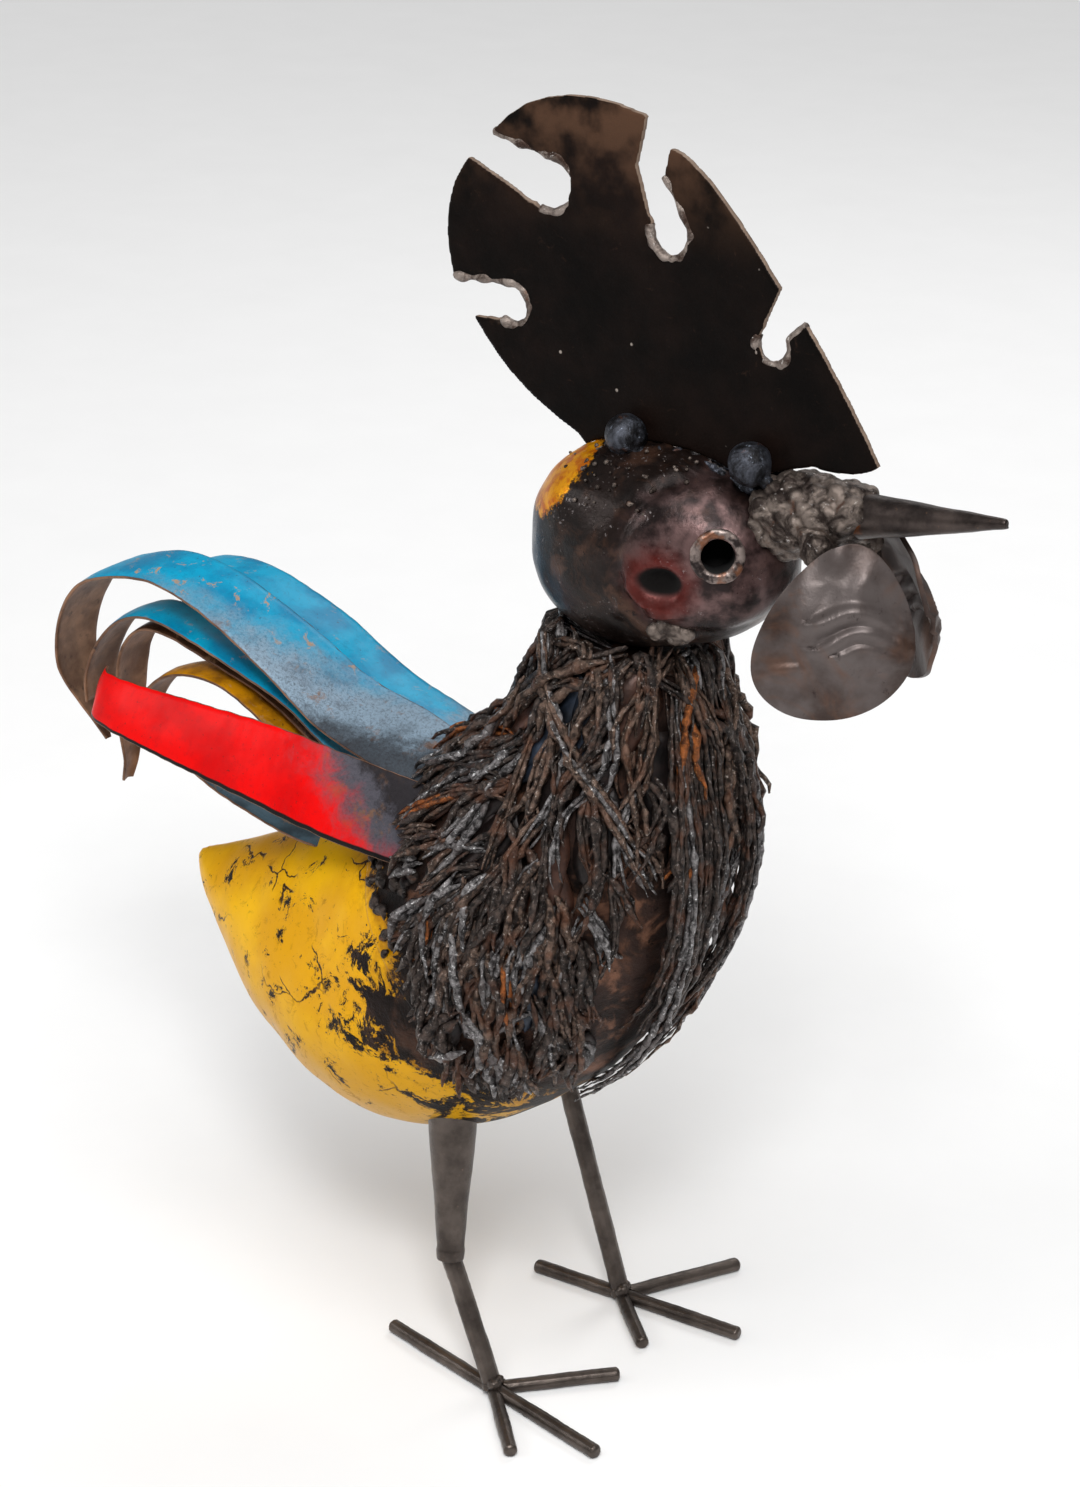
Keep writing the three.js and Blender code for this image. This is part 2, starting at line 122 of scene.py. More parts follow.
def made(name, primitive, **settings):
    """A new mesh from one of the plain shapes, under its own name."""
    bpy.ops.object.select_all(action="DESELECT")
    primitive(**settings)
    piece = bpy.context.object
    piece.name = piece.data.name = name
    return piece


def laid_sheet(name, along, across, place):
    """A flat grid of squares laid to shape: place(u, v) is where each share of it goes."""
    piece = made(name, bpy.ops.mesh.primitive_grid_add, x_subdivisions=along,
                 y_subdivisions=across, size=1)
    for v in piece.data.vertices:
        v.co = place(v.co.x + 0.5, v.co.y + 0.5)
    return piece


def closed(piece):
    """Merges the joined edges of a rolled or dished sheet, caps its ends, turns it outwards."""
    edit(piece, (bpy.ops.mesh.remove_doubles, {"threshold": 0.02 * MM}),
         (bpy.ops.mesh.select_all, {"action": "DESELECT"}),
         (bpy.ops.mesh.select_non_manifold, {}), (bpy.ops.mesh.fill_holes, {"sides": 0}),
         (bpy.ops.mesh.select_all, {"action": "SELECT"}),
         (bpy.ops.mesh.normals_make_consistent, {"inside": False}))


def dent(piece, *layers):
    """Pushes each point in or out by noise. A layer is the dents' size and depth, in mm."""
    piece.data.update()
    for v, normal in [(v, v.normal.copy()) for v in piece.data.vertices]:
        v.co += normal * MM * sum(
            depth * noise.noise(v.co / (size * MM) + Vector((size, depth, 3 * size)))
            for size, depth in layers)
    piece.data.update()


def done(piece, slot, finish, *nodes):
    """Finishes a piece: its paint or metal, its body and the nodes it stands for. Its slot is not
    used.
    """
    if finish:
        piece.data.materials.clear()
        piece.data.materials.append(finish)
    pick(piece)
    bpy.ops.object.shade_smooth()
    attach(piece, "root")
    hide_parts(*nodes)


class Finish:
    """A material being mixed. Sizes are in millimetres on the object."""

    def __init__(self, name):
        self.material = bpy.data.materials.new(name)
        self.material.use_nodes = True
        self.tree = self.material.node_tree
        self.tree.nodes.clear()
        self.object = self.node("TexCoord").outputs["Object"]
        self.uv = self.tree.nodes[0].outputs["UV"]

    def node(self, kind, inputs=(), **settings):
        node = self.tree.nodes.new("ShaderNode" + kind)
        for name, value in settings.items():
            setattr(node, name, value)
        for socket, value in dict(inputs).items():
            if isinstance(value, bpy.types.NodeSocket):
                self.tree.links.new(value, node.inputs[socket])
            else:
                node.inputs[socket].default_value = value
        return node

    def split(self, vector):
        return self.node("SeparateXYZ", {0: vector}).outputs

    def cloud(self, size, detail=4, rough=0.55, twist=0):
        return self.node("TexNoise", {"Vector": self.object, "Scale": 1 / (size * MM),
                                      "Detail": detail, "Roughness": rough,
                                      "Distortion": twist}).outputs[0]

    def cells(self, size, feature="F1", where=None):
        return self.node("TexVoronoi", {"Vector": where or self.object, "Scale": 1 / (size * MM)},
                         feature=feature).outputs[0]

    def sum(self, how, a, b=0.0, c=0.0):
        return self.node("Math", {0: a, 1: b, 2: c}, operation=how).outputs[0]

    def vector(self, how, a, b=(0.0, 0.0, 0.0)):
        node = self.node("VectorMath", {0: a, 1: b}, operation=how)
        return node.outputs[1 if how in ("LENGTH", "DISTANCE") else 0]

    def gap(self, place):
        """How far each point is from a place, in mm."""
        return self.sum("MULTIPLY", self.vector("DISTANCE", self.object, place), 1 / MM)

    def ahead_and_high(self):
        """How far each point is ahead of the ankles and above the ground, in mm."""
        x, y, z = self.split(self.object)
        return (self.sum("MULTIPLY", self.sum("SUBTRACT", x, ankles.x), 1 / MM),
                self.sum("MULTIPLY", z, 1 / MM))

    def step(self, value, low, high):
        """0 below low, 1 above high, and a soft slope between them."""
        falls = low > high
        low, high = sorted((low, high))
        soft = self.node("MapRange", {0: value, 1: low, 2: high, 3: float(falls),
                                      4: float(not falls)}, interpolation_type="SMOOTHSTEP")
        return soft.outputs[0]

    def mix(self, share, a, b):
        return self.node("Mix", {0: share, 6: a, 7: b}, data_type="RGBA").outputs[2]

    def level(self, share, a, b):
        return self.node("Mix", {0: share, 2: a, 3: b}, data_type="FLOAT").outputs[0]

    def surface(self, colour, rough, metal, relief=(), depth=0.3, shine=0.5):
        """Joins it all to the shader. Relief is a height, and depth its height in mm."""
        shader = self.node("BsdfPrincipled", {"Base Color": colour, "Roughness": rough,
                                              "Metallic": metal, "Specular IOR Level": shine})
        if relief:
            bump = self.node("Bump", {"Strength": 1.0, "Distance": depth * MM, "Height": relief})
            self.tree.links.new(bump.outputs[0], shader.inputs["Normal"])
        self.node("OutputMaterial", {0: shader.outputs[0]})
        return self.material


def shade(red, green, blue):
    """A colour as seen, 0 to 255, as the shader wants it."""
    return tuple(((c / 255 + 0.055) / 1.055) ** 2.4 if c > 10 else c / 3294
                 for c in (red, green, blue)) + (1.0,)


SOOT, SCORCHED, RUST, WARM_RUST = (shade(14, 10, 9), shade(58, 43, 38), shade(96, 58, 38),
                                   shade(150, 88, 48))


def scorched(f):
    """Sheet that the torch has burnt: soot, brown scale, rust in the hollows. Gives a colour."""
    base = f.mix(f.step(f.cloud(26, 5, 0.6), 0.35, 0.65), SOOT, SCORCHED)
    base = f.mix(f.step(f.cloud(11, 7, 0.7, 0.8), 0.5, 0.7), base, shade(88, 60, 46))
    base = f.mix(f.step(f.cloud(19, 5, 0.6, 0.5), 0.54, 0.7), base, shade(122, 86, 68))
    return f.mix(f.step(f.cloud(4, 7, 0.75), 0.58, 0.66), base, SOOT)


def body_finish():
    f = Finish("yellow paint over scorched sheet")
    ahead, high = f.ahead_and_high()
    ragged = f.sum("MULTIPLY_ADD", f.cloud(24, 6, 0.7, 0.4), 56.0, -28.0)
    fine = f.sum("MULTIPLY_ADD", f.cloud(4.5, 6, 0.75), 26.0, -13.0)
    # the burnt line stands further forward under the belly, where paint is left again
    low_paint = f.sum("MULTIPLY", f.step(high, 156.0, 140.0), 46.0)
    line = f.sum("ADD", low_paint, -33.0)
    line = f.sum("SUBTRACT", line, f.sum("MULTIPLY", f.step(high, 200.0, 222.0), 30.0))
    past = f.sum("SUBTRACT", f.sum("ADD", f.sum("ADD", ahead, ragged), fine), line)
    burnt = f.step(past, -2.0, 2.5)
    near = f.sum("MULTIPLY", f.step(past, -62.0, -6.0), f.step(high, 214.0, 176.0))
    patches = f.sum("ADD", f.cloud(15, 8, 0.78, 0.5), f.sum("MULTIPLY", near, 0.16))
    patches = f.step(patches, 0.585, 0.61)
    pits = f.step(f.cells(15), 0.085, 0.05)
    spots = f.sum("MULTIPLY", pits, f.step(f.cloud(40), 0.5, 0.56))
    bare = f.sum("MAXIMUM", f.sum("MAXIMUM", burnt, patches), spots)
    paint = f.mix(f.step(f.cloud(38, 4), 0.35, 0.7), shade(214, 154, 0), shade(238, 182, 0))
    # Painted shade: the yellow turns darker towards the bottom of the body, where less light
    # reaches it.
    paint = f.mix(f.step(high, 172.0, 118.0), paint, shade(200, 146, 0))
    dirt = f.step(f.cloud(7, 7, 0.78, 1.0), 0.54, 0.7)
    paint = f.mix(f.sum("MULTIPLY", dirt, 0.55), paint, shade(118, 74, 2))
    specks = f.step(f.cloud(1.5, 3, 0.6), 0.68, 0.72)
    paint = f.mix(f.sum("MULTIPLY", specks, 0.7), paint, shade(60, 38, 6))
    scorch = f.sum("MULTIPLY", f.step(past, -20.0, 0.0), 0.65)
    paint = f.mix(scorch, paint, f.mix(f.cloud(5, 5), shade(150, 84, 4), shade(94, 50, 8)))
    wander = f.node("TexNoise", {"Vector": f.object, "Scale": 90.0, "Detail": 5.0}).outputs[1]
    wander = f.vector("MULTIPLY", wander, (0.012, 0.012, 0.012))
    crack = f.cells(42, "DISTANCE_TO_EDGE", f.vector("ADD", f.object, wander))
    crack = f.sum("MULTIPLY", f.step(crack, 0.012, 0.005), f.step(f.cloud(30, 2), 0.5, 0.58))
    paint = f.mix(crack, paint, shade(52, 30, 4))
    burnt_sheet = f.mix(f.sum("MULTIPLY", f.step(past, 44.0, 4.0), 0.75), scorched(f), SOOT)
    colour = f.mix(bare, paint, burnt_sheet)
    rough = f.level(bare, f.level(dirt, 0.3, 0.5), f.level(f.cloud(12), 0.3, 0.6))
    relief = f.sum("SUBTRACT", f.sum("MULTIPLY", f.cloud(5, 7, 0.72), f.level(bare, 0.15, 1.0)),
                   f.sum("MULTIPLY", f.sum("MAXIMUM", bare, crack), 0.4))
    return f.surface(colour, rough, f.level(bare, 0.0, 0.6), relief, 0.8, shine=0.1)


body_metal = body_finish()


def body_skin(u, v):
    """The skin from the point to the neck, raised along the seams on the back and the belly."""
    share = max(u, TIP)
    turn = -2 * math.pi * v
    seam = 0.0
    for line in (0, BELLY):
        off = (turn - line + math.pi) % (2 * math.pi) - math.pi
        seam += SEAM_HIGH * math.exp(-(off * GIRTH / SEAM_WIDE) ** 2)
    return body_point(share, turn, seam)


def split_at_border(piece, name, keep_rump):
    """A copy of the body cut off at the border between the two sheets, its open end capped."""
    part = piece.copy()
    part.data = piece.data.copy()
    part.name = part.data.name = name
    bpy.context.collection.objects.link(part)
    x, z, *_ = smooth_line(BODY, RUMP_END)
    after, before = smooth_line(BODY, RUMP_END + 0.01), smooth_line(BODY, RUMP_END - 0.01)
    edit(part, (bpy.ops.mesh.bisect, {
        "plane_co": at(x, 0, z), "plane_no": (after[0] - before[0], 0, after[1] - before[1]),
        "clear_inner": not keep_rump, "clear_outer": keep_rump, "use_fill": True}))
    return part


body = laid_sheet("body", 150, 110, body_skin)
closed(body)
taut = split_at_border(body, "rump skin pulled taut", True)
edit(taut, (bpy.ops.mesh.convex_hull, {}))
pick(body, taut)
bpy.ops.object.join()
work(body, "REMESH", mode="VOXEL", voxel_size=1.7 * MM)
planished = body.vertex_groups.new(name="all but the point")
for v in body.data.vertices:
    from_point = ((v.co.x - ankles.x) / MM - BODY[0][0]) / POINT_LENGTH
    planished.add([v.index], min(max(from_point, 0.04), 1), "REPLACE")
work(body, "SMOOTH", factor=0.6, iterations=14, vertex_group="all but the point")
dent(body, (38, 1.2), (13, 0.4))
done(split_at_border(body, "rump", True), "yellow_paint", body_metal, "rump_shell")
done(split_at_border(body, "breast_and_neck", False), "burnt_sheet", body_metal,
     "breast_and_neck_shell")
bpy.data.objects.remove(body)

# ---- Head ---------------------------------------------------------------------------------
# Two dished shells of the same sheet welded into one hollow head. It has a torch-cut eye hole
# each side, a folded ear dent, weld spatter over the crown and a scrap of paint at the back.

HEAD_CENTRE, HEAD_HALF = (47, 0, 365), (52, 34, 37.5)
FULLNESS = 2.35                     # 2 is a plain egg, and more is squarer
JAW_RISE = 7                        # how far the jaw sweeps up towards the beak
EYE, EYE_HOLE = (86, 25, 376), 6.2
EYE_TURN, EYE_LIFT = math.radians(36), math.radians(14)
FACE = (78, 0, 372)                 # the middle of the worn disc round the eye
EAR = (66, 33, 363)
EAR_REACH = 26                      # how far the hammering round the ear goes
CROWN_FROM = 388                    # the height where the spattered crown begins


def sight(side):
    """The way an eye looks, side -1 on the right and 1 on the left."""
    return Vector((math.sin(EYE_TURN) * math.cos(EYE_LIFT),
                   side * math.cos(EYE_TURN) * math.cos(EYE_LIFT), math.sin(EYE_LIFT)))


def head_point(up, side, forward, out=0):
    """The head's skin in a direction from its middle, or `out` millimetres off it."""
    reach = sum(abs(c) ** FULLNESS for c in (up, side, forward)) ** (-1 / FULLNESS)
    up, side, forward = up * reach, side * reach, forward * reach
    place = at(HEAD_CENTRE[0] + forward * HEAD_HALF[0], side * HEAD_HALF[1],
               HEAD_CENTRE[2] + up * HEAD_HALF[2] + JAW_RISE * forward * max(0, -up))
    return place + (place - at(*HEAD_CENTRE)).normalized() * out * MM


def head_finish():
    f = Finish("scorched head sheet")
    base = scorched(f)
    flat = f.vector("MULTIPLY", f.vector("SUBTRACT", f.object, at(*FACE)), (1.0, 0.0, 1.0))
    off = f.sum("MULTIPLY", f.vector("LENGTH", flat), 1 / MM)
    face = f.step(f.sum("ADD", off, f.sum("MULTIPLY", f.cloud(14), 16.0)), 44.0, 20.0)
    base = f.mix(0.7, base, SOOT)
    base = f.mix(f.sum("MULTIPLY", face, 0.8), base, f.mix(
        f.step(f.cloud(9, 6), 0.38, 0.66), shade(38, 27, 27), shade(118, 92, 90)))
    sparkle = f.sum("MULTIPLY", f.step(f.cloud(1.5, 4, 0.7), 0.6, 0.68),
                    f.step(f.cloud(13), 0.5, 0.6))
    base = f.mix(f.sum("MULTIPLY", sparkle, 0.8), base, shade(150, 142, 142))
    red = dark = 0.0
    for side in (-1, 1):
        gap = f.gap(at(EAR[0], side * EAR[1], EAR[2]))
        gap = f.sum("ADD", gap, f.sum("MULTIPLY", f.cloud(5), 6.0))
        red = f.sum("MAXIMUM", red, f.step(gap, 21.0, 12.0))
        # Painted shade: inside each ear's dent the sheet is painted near black, fully rough and
        # less metallic, standing in for the shadow in the dent.
        pocket = f.vector("SUBTRACT", f.object, at(EAR[0] + 0.5, side * EAR[1], EAR[2] + 1))
        pocket = f.vector("LENGTH", f.vector("MULTIPLY", pocket, (0.8, 0.6, 1.25)))
        dark = f.sum("MAXIMUM", dark, f.step(pocket, 7.8 * MM, 5.6 * MM))
    base = f.mix(f.sum("MULTIPLY", red, f.sum("MULTIPLY_ADD", f.cloud(4, 5), 0.6, 0.3)), base,
                 shade(96, 24, 16))
    # the painted shade in the ear dents
    base = f.mix(dark, base, shade(7, 4, 3))
    ahead, high = f.ahead_and_high()
    remnant = f.sum("ADD", f.gap(at(10, -13, 389)),
                    f.sum("MULTIPLY_ADD", f.cloud(6, 6, 0.7), 26.0, -13.0))
    paint = f.mix(f.step(f.cloud(4), 0.4, 0.65), shade(232, 158, 12), shade(196, 104, 14))
    base = f.mix(f.step(remnant, 19.0, 16.0), base, paint)
    # Painted reflection: the lower back of the head is tinted blue-grey, standing in for a bluish
    # reflection there.
    steel = f.sum("MULTIPLY", f.step(ahead, 14.0, -2.0), f.step(high, 388.0, 372.0))
    base = f.mix(f.sum("MULTIPLY", steel, 0.55), base, shade(58, 78, 104))
    rough = f.level(dark, f.level(f.cloud(10, 5), 0.18, 0.45), 1.0)
    return f.surface(base, rough, f.sum("MULTIPLY_ADD", dark, -0.55, 0.55),
                     f.cloud(4, 6, 0.65), 0.3, shine=0.3)


def ear_work(off):
    """The ear's dent, its raised lip and the two folds by it. Gives how far out the sheet goes at
    a place off the ear, in mm forward and up."""
    bowl = math.exp(-(((off.x - 0.5) / 7.2) ** 2 + ((off.z - 1) / 5.2) ** 2) ** 2)
    ring = math.hypot((off.x + 0.5) / 10, (off.z + 1) / 8)
    lip = math.exp(-((ring - 1) / 0.2) ** 2) * (0.5 - 0.5 * math.sin(
        math.atan2(off.z, off.x) + 0.6))
    under = math.exp(-((off.z + 12 - 0.16 * off.x) / 1.6) ** 2) * math.exp(-((off.x - 1) / 9) ** 2)
    crease = math.exp(-((off.x + 11 - 0.45 * off.z) / 1.5) ** 2) * math.exp(
        -((off.z + 8) / 12) ** 2)
    return -6.0 * bowl + 1.8 * lip + 1.6 * under + 1.4 * crease


def face_work(place):
    """The disc round the eye, standing out a little inside a chased line."""
    off = Vector(((place.x - ankles.x) / MM - FACE[0], 0, place.z / MM - FACE[2])).length
    return -1.6 * math.exp(-((off - 29) / 2.4) ** 2) + 1.0 * math.exp(-(off / 22) ** 2)


head_metal = head_finish()
head = made("head", bpy.ops.mesh.primitive_uv_sphere_add, segments=150, ring_count=100, radius=1)
for v in head.data.vertices:
    v.co = head_point(*v.co)
edit(head, (bpy.ops.mesh.normals_make_consistent, {"inside": False}))
for v, normal in [(v, v.normal.copy()) for v in head.data.vertices]:
    push = 0.0
    for side in (-1, 1):
        ear = at(EAR[0], side * EAR[1], EAR[2])
        off = Vector((v.co.x - ear.x, 0, v.co.z - ear.z)) / MM
        if (v.co.y - ankles.y) * side > 0 and off.length < EAR_REACH:
            push += ear_work(off)
    push += face_work(v.co)
    crown = max(0, (v.co.z / MM - CROWN_FROM) / 12)
    push += crown * 0.9 * noise.noise(v.co / (3.2 * MM)) + crown * 0.5 * noise.noise(
        v.co / (1.4 * MM))
    v.co += normal * push * MM
dent(head, (24, 1.5), (9, 0.4))
for side in (-1, 1):
    eye = at(EYE[0], side * EYE[1], EYE[2])
    cutter = made("eye hole", bpy.ops.mesh.primitive_cylinder_add, vertices=48,
                  radius=EYE_HOLE * MM, depth=44 * MM, location=eye,
                  rotation=sight(side).to_track_quat("Z", "Y").to_euler())
    work(head, "BOOLEAN", operation="DIFFERENCE", object=cutter, solver="EXACT")
    bpy.data.objects.remove(cutter)
# Soot and painted shade: the walls inside the eye holes are painted near black and matt, for the
# soot there and the shade of the hollow head behind them.
soot = Finish("soot")
eye_hole_soot_and_shade = soot.surface(soot.mix(soot.cloud(3), shade(4, 3, 3), shade(14, 11, 10)), 0.9, 0.0)
head.data.materials.clear()
head.data.materials.append(head_metal)
head.data.materials.append(eye_hole_soot_and_shade)
# Faces inside each eye hole get the soot and painted shade.
for face in head.data.polygons:
    for side in (-1, 1):
        eye = at(EYE[0], side * EYE[1], EYE[2])
        off = face.center - eye
        deep = off.dot(sight(side))
        if (off - sight(side) * deep).length < (EYE_HOLE + 0.1) * MM and (
                -24 * MM < deep < -1.2 * MM):
            face.material_index = 1
done(head, "burnt_sheet", None, "head_shell")
pick(head)
bpy.ops.object.shade_smooth_by_angle(angle=math.radians(40))

# ---- Eye rings ----------------------------------------------------------------------------
# A worn washer pressed round each eye hole, in patches dark and bright, with patches of heat tint.

RING_RADIUS, RING_BAR = 7.9, 1.9
RING_SUNK = 0.9                     # how far the ring is pressed into the sheet


def ring_finish():
    f = Finish("rubbed washer")
    colour = f.mix(f.step(f.cloud(5, 5, 0.6), 0.4, 0.6), shade(40, 31, 30), shade(140, 126, 120))
    colour = f.mix(f.step(f.cloud(8, 3), 0.52, 0.66), colour, shade(120, 78, 56))
    return f.surface(colour, f.level(f.cloud(3), 0.25, 0.5), 0.6, f.cloud(2, 6), 0.2)


ring_metal = ring_finish()
for side, word in ((-1, "right"), (1, "left")):
    eye = at(EYE[0], side * EYE[1], EYE[2])
    ring = made(f"eye_washer_{word}", bpy.ops.mesh.primitive_torus_add, major_segments=96,
                minor_segments=20, major_radius=RING_RADIUS * MM, minor_radius=RING_BAR * MM)
    turn = sight(side).to_track_quat("Z", "Y").to_matrix().to_4x4()
    for v in ring.data.vertices:
        v.co.z *= 0.62
        v.co *= 1 + 0.03 * noise.noise(v.co * 180)
        v.co = turn @ v.co + eye - sight(side) * RING_SUNK * MM
    ring.data.update()
    dent(ring, (3.0, 0.35), (1.2, 0.12))
    done(ring, "worn_ring", ring_metal, f"eye_ring_{word}")

# ---- Comb ---------------------------------------------------------------------------------
# One 3 mm plate, torch cut freehand: clean on its long outer edges, burnt out in four ragged
# notches whose melted edges are beaded with slag.

# Each notch: the middle and radius of its round end, the turns between which the edge is melted,
# in degrees, and the lip that the slag runs out to.
NOTCHES = [[(-21, 442.5), 7.5, -125, 100, (-47, 449)], [(-4, 489.5), 10, -115, 100, (-29, 505)],
           [(47.5, 480), 8.5, 165, 395, (45, 500)], [(91, 447.5), 6.5, 155, 385, (104, 457)]]
MELTED = 4.0                        # how far from a notch's edge the plate is melted
EDGE_STEPS, THROAT_STEPS = 26, 8


def comb_finish():
    f = Finish("torch cut plate")
    base = f.mix(f.step(f.cloud(40, 5, 0.6), 0.35, 0.7), shade(7, 5, 4), shade(22, 14, 11))
    base = f.mix(f.step(f.cloud(6, 7, 0.7, 1.2), 0.6, 0.75), base, shade(38, 26, 20))
    _, y, z = f.split(f.object)
    high = f.sum("MULTIPLY", z, 1 / MM)
    brown = f.sum("MULTIPLY", f.step(high, 470.0, 522.0), f.step(f.cloud(24, 4), 0.4, 0.62))
    base = f.mix(f.sum("MULTIPLY", brown, 0.7), base, shade(92, 66, 50))
    edge = f.step(f.sum("ABSOLUTE", f.sum("SUBTRACT", y, ankles.y)), 0.95 * MM, 1.2 * MM)
    flecks = f.step(f.cells(9), 0.09, 0.05)
    base = f.mix(f.sum("MULTIPLY", flecks, f.step(f.cloud(18), 0.55, 0.6)), base,
                 shade(150, 140, 132))
    base = f.mix(edge, f.mix(f.cloud(5, 5), shade(158, 138, 122), shade(62, 44, 34)), base)
    rough = f.level(f.cloud(14, 6), 0.36, 0.55)
    return f.surface(base, rough, 0.0, f.cloud(5, 7, 0.7), 0.3, shine=0.05)


def copy_of(node, name, voxel):
    """A solid of the frame's, copied and skinned again in even small squares."""
    piece = bpy.data.objects.new(name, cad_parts[node].data.copy())
    bpy.context.collection.objects.link(piece)
    piece.data.name = name
    piece.data.materials.clear()
    edit(piece, (bpy.ops.mesh.remove_doubles, {"threshold": 0.01 * MM}))
    work(piece, "REMESH", mode="VOXEL", voxel_size=voxel * MM)
    return piece


comb = copy_of("comb_plate", "comb", 0.9)
for v, normal in [(v, v.normal.copy()) for v in comb.data.vertices]:
    x, z = (v.co.x - ankles.x) / MM, v.co.z / MM
    near = min(abs(math.hypot(x - cx, z - cz) - radius)
               for (cx, cz), radius, *_ in NOTCHES)
    melt = math.exp(-(near / MELTED) ** 2)
    rim = 1 - abs(normal.y)
    push = melt * (1.6 * rim + 0.4) * noise.noise(v.co / (4.0 * MM)) + (
        0.25 * rim + 0.1) * noise.noise(v.co / (6.0 * MM)) + 0.35 * noise.noise(v.co / (30 * MM))
    v.co += normal * push * MM
comb.data.update()
done(comb, "torch_cut_plate", comb_finish(), "comb_plate")


def weld_finish(name, dark, light, glint):
    f = Finish(name)
    colour = f.mix(f.step(f.cloud(8, 6, 0.65, 0.8), 0.38, 0.64), dark, light)
    colour = f.mix(f.step(f.cloud(2.2, 5, 0.7), 0.6, 0.72), colour, glint)
    colour = f.mix(f.sum("MULTIPLY", f.step(f.cloud(7, 5), 0.6, 0.72), 0.7), colour, RUST)
    rough = f.level(f.cloud(2.2, 5), 0.24, 0.6)
    relief = f.sum("ADD", f.cloud(1.3, 6, 0.7), f.sum("MULTIPLY", f.cloud(3.5, 4), 1.2))
    return f.surface(colour, rough, 0.75, relief, 0.45)


slag = weld_finish("melted slag edge", shade(58, 42, 34), shade(148, 136, 128),
                   shade(220, 216, 212))
weld_metal = weld_finish("weld metal", shade(42, 33, 29), shade(124, 112, 104),
                         shade(190, 184, 180))
burnt_weld = weld_finish("burnt weld", shade(20, 16, 15), shade(74, 64, 59), shade(150, 144, 140))
ball_metal = weld_finish("weld ball", shade(22, 21, 23), shade(80, 83, 92), shade(150, 160, 176))


def bead_line(name, runs, seed, ripple, sides=2):
    """Round beads of metal run along lines of (place, radius in mm). ripple is how far, as a share,
    the radius swells and thins along a line."""
    curve = bpy.data.curves.new(name, "CURVE")
    curve.dimensions = "3D"
    curve.bevel_depth = MM
    curve.bevel_resolution = sides
    curve.use_fill_caps = True
    chance = random.Random(seed)
    for run in runs:
        line = curve.splines.new("POLY")
        line.points.add(len(run) - 1)
        phase = chance.uniform(0, 6)
        for point, (place, radius) in zip(line.points, run):
            point.co = (*place, 1)
            phase += chance.uniform(1.2, 2.6)
            point.radius = radius * (1 + ripple * math.sin(phase))
    piece = bpy.data.objects.new(name, curve)
    bpy.context.collection.objects.link(piece)
    pick(piece)
    bpy.ops.object.convert(target="MESH")
    return bpy.context.object


def slag_runs():
    """Where the melted edges lie: round each notch, out along its throat and over its lips."""
    chance = random.Random(5)
    for (cx, cz), radius, start, stop, lip in NOTCHES:
        run = []
        for i in range(EDGE_STEPS + 1):
            turn = math.radians(start + (stop - start) * i / EDGE_STEPS)
            run.append([cx + (radius + 0.5) * math.cos(turn), cz + (radius + 0.5) * math.sin(turn)])
        end_x, end_z = run[EDGE_STEPS]
        for i in range(1, THROAT_STEPS + 1):
            run.append([end_x + (lip[0] - end_x) * i / THROAT_STEPS,
                        end_z + (lip[1] - end_z) * i / THROAT_STEPS])
        yield [(at(x, 0, z), chance.uniform(1.7, 1.9)) for x, z in run]


slag_beads = bead_line("comb_slag_edges", list(slag_runs()), 11, 0.05)
work(slag_beads, "REMESH", mode="VOXEL", voxel_size=0.5 * MM)
work(slag_beads, "SMOOTH", factor=0.5, iterations=5)
dent(slag_beads, (7.0, 1.2), (3.0, 0.35))
done(slag_beads, "torch_cut_plate", slag)

# ---- Comb knobs ---------------------------------------------------------------------------
# The comb stands on the crown between two pairs of balls of weld, each built up in rings. A line
# of weld runs along its foot, with spatter on the head below it and patches of weld on the chin.

BALL = 8
FOOT_SPOTS = 34


def lumps(name, spots, voxel, rough=((5, 1.2), (2, 0.6))):
    """Blobs of weld at (place, radius in mm), run together."""
    blobs = [made("blob", bpy.ops.mesh.primitive_ico_sphere_add, subdivisions=3,
                  radius=radius * MM, location=place) for place, radius in spots]
    pick(*blobs)
    bpy.ops.object.join()
    piece = bpy.context.object
    bpy.ops.object.transform_apply(location=True, rotation=True, scale=True)
    piece.name = piece.data.name = name
    work(piece, "REMESH", mode="VOXEL", voxel_size=voxel * MM)
    dent(piece, *rough)
    return piece


for end, x in (("rear", 34), ("front", 87)):
    for side, word in ((-1, "right"), (1, "left")):
        spots = [(at(x, side * 7, 405), BALL)]
        chance = random.Random(x + side)
        for i in range(9):
            turn = 2 * math.pi * i / 9
            spots.append((at(x + 7 * math.cos(turn), side * (7 + 3 * math.sin(turn)),
                             400 + 2 * math.sin(turn)), chance.uniform(1.5, 2.6)))
        done(lumps(f"comb_knob_{end}_{word}_weld", spots, 0.6, ((9, 0.8), (2.6, 0.2))),
             "weld_metal", ball_metal, f"comb_knob_{end}_{word}")

crown = []
chance = random.Random(21)
for side in (-1, 1):
    for i in range(FOOT_SPOTS):
        x = 14 + 78 * i / (FOOT_SPOTS - 1)
        crown.append((at(x, side * chance.uniform(1.6, 3.4),
                         399.5 + chance.uniform(-1, 1.6) - 0.0042 * (x - 50) ** 2),
                      chance.uniform(1.2, 2.6)))
done(lumps("comb_foot_weld", crown, 0.6), "weld_metal", ball_metal)

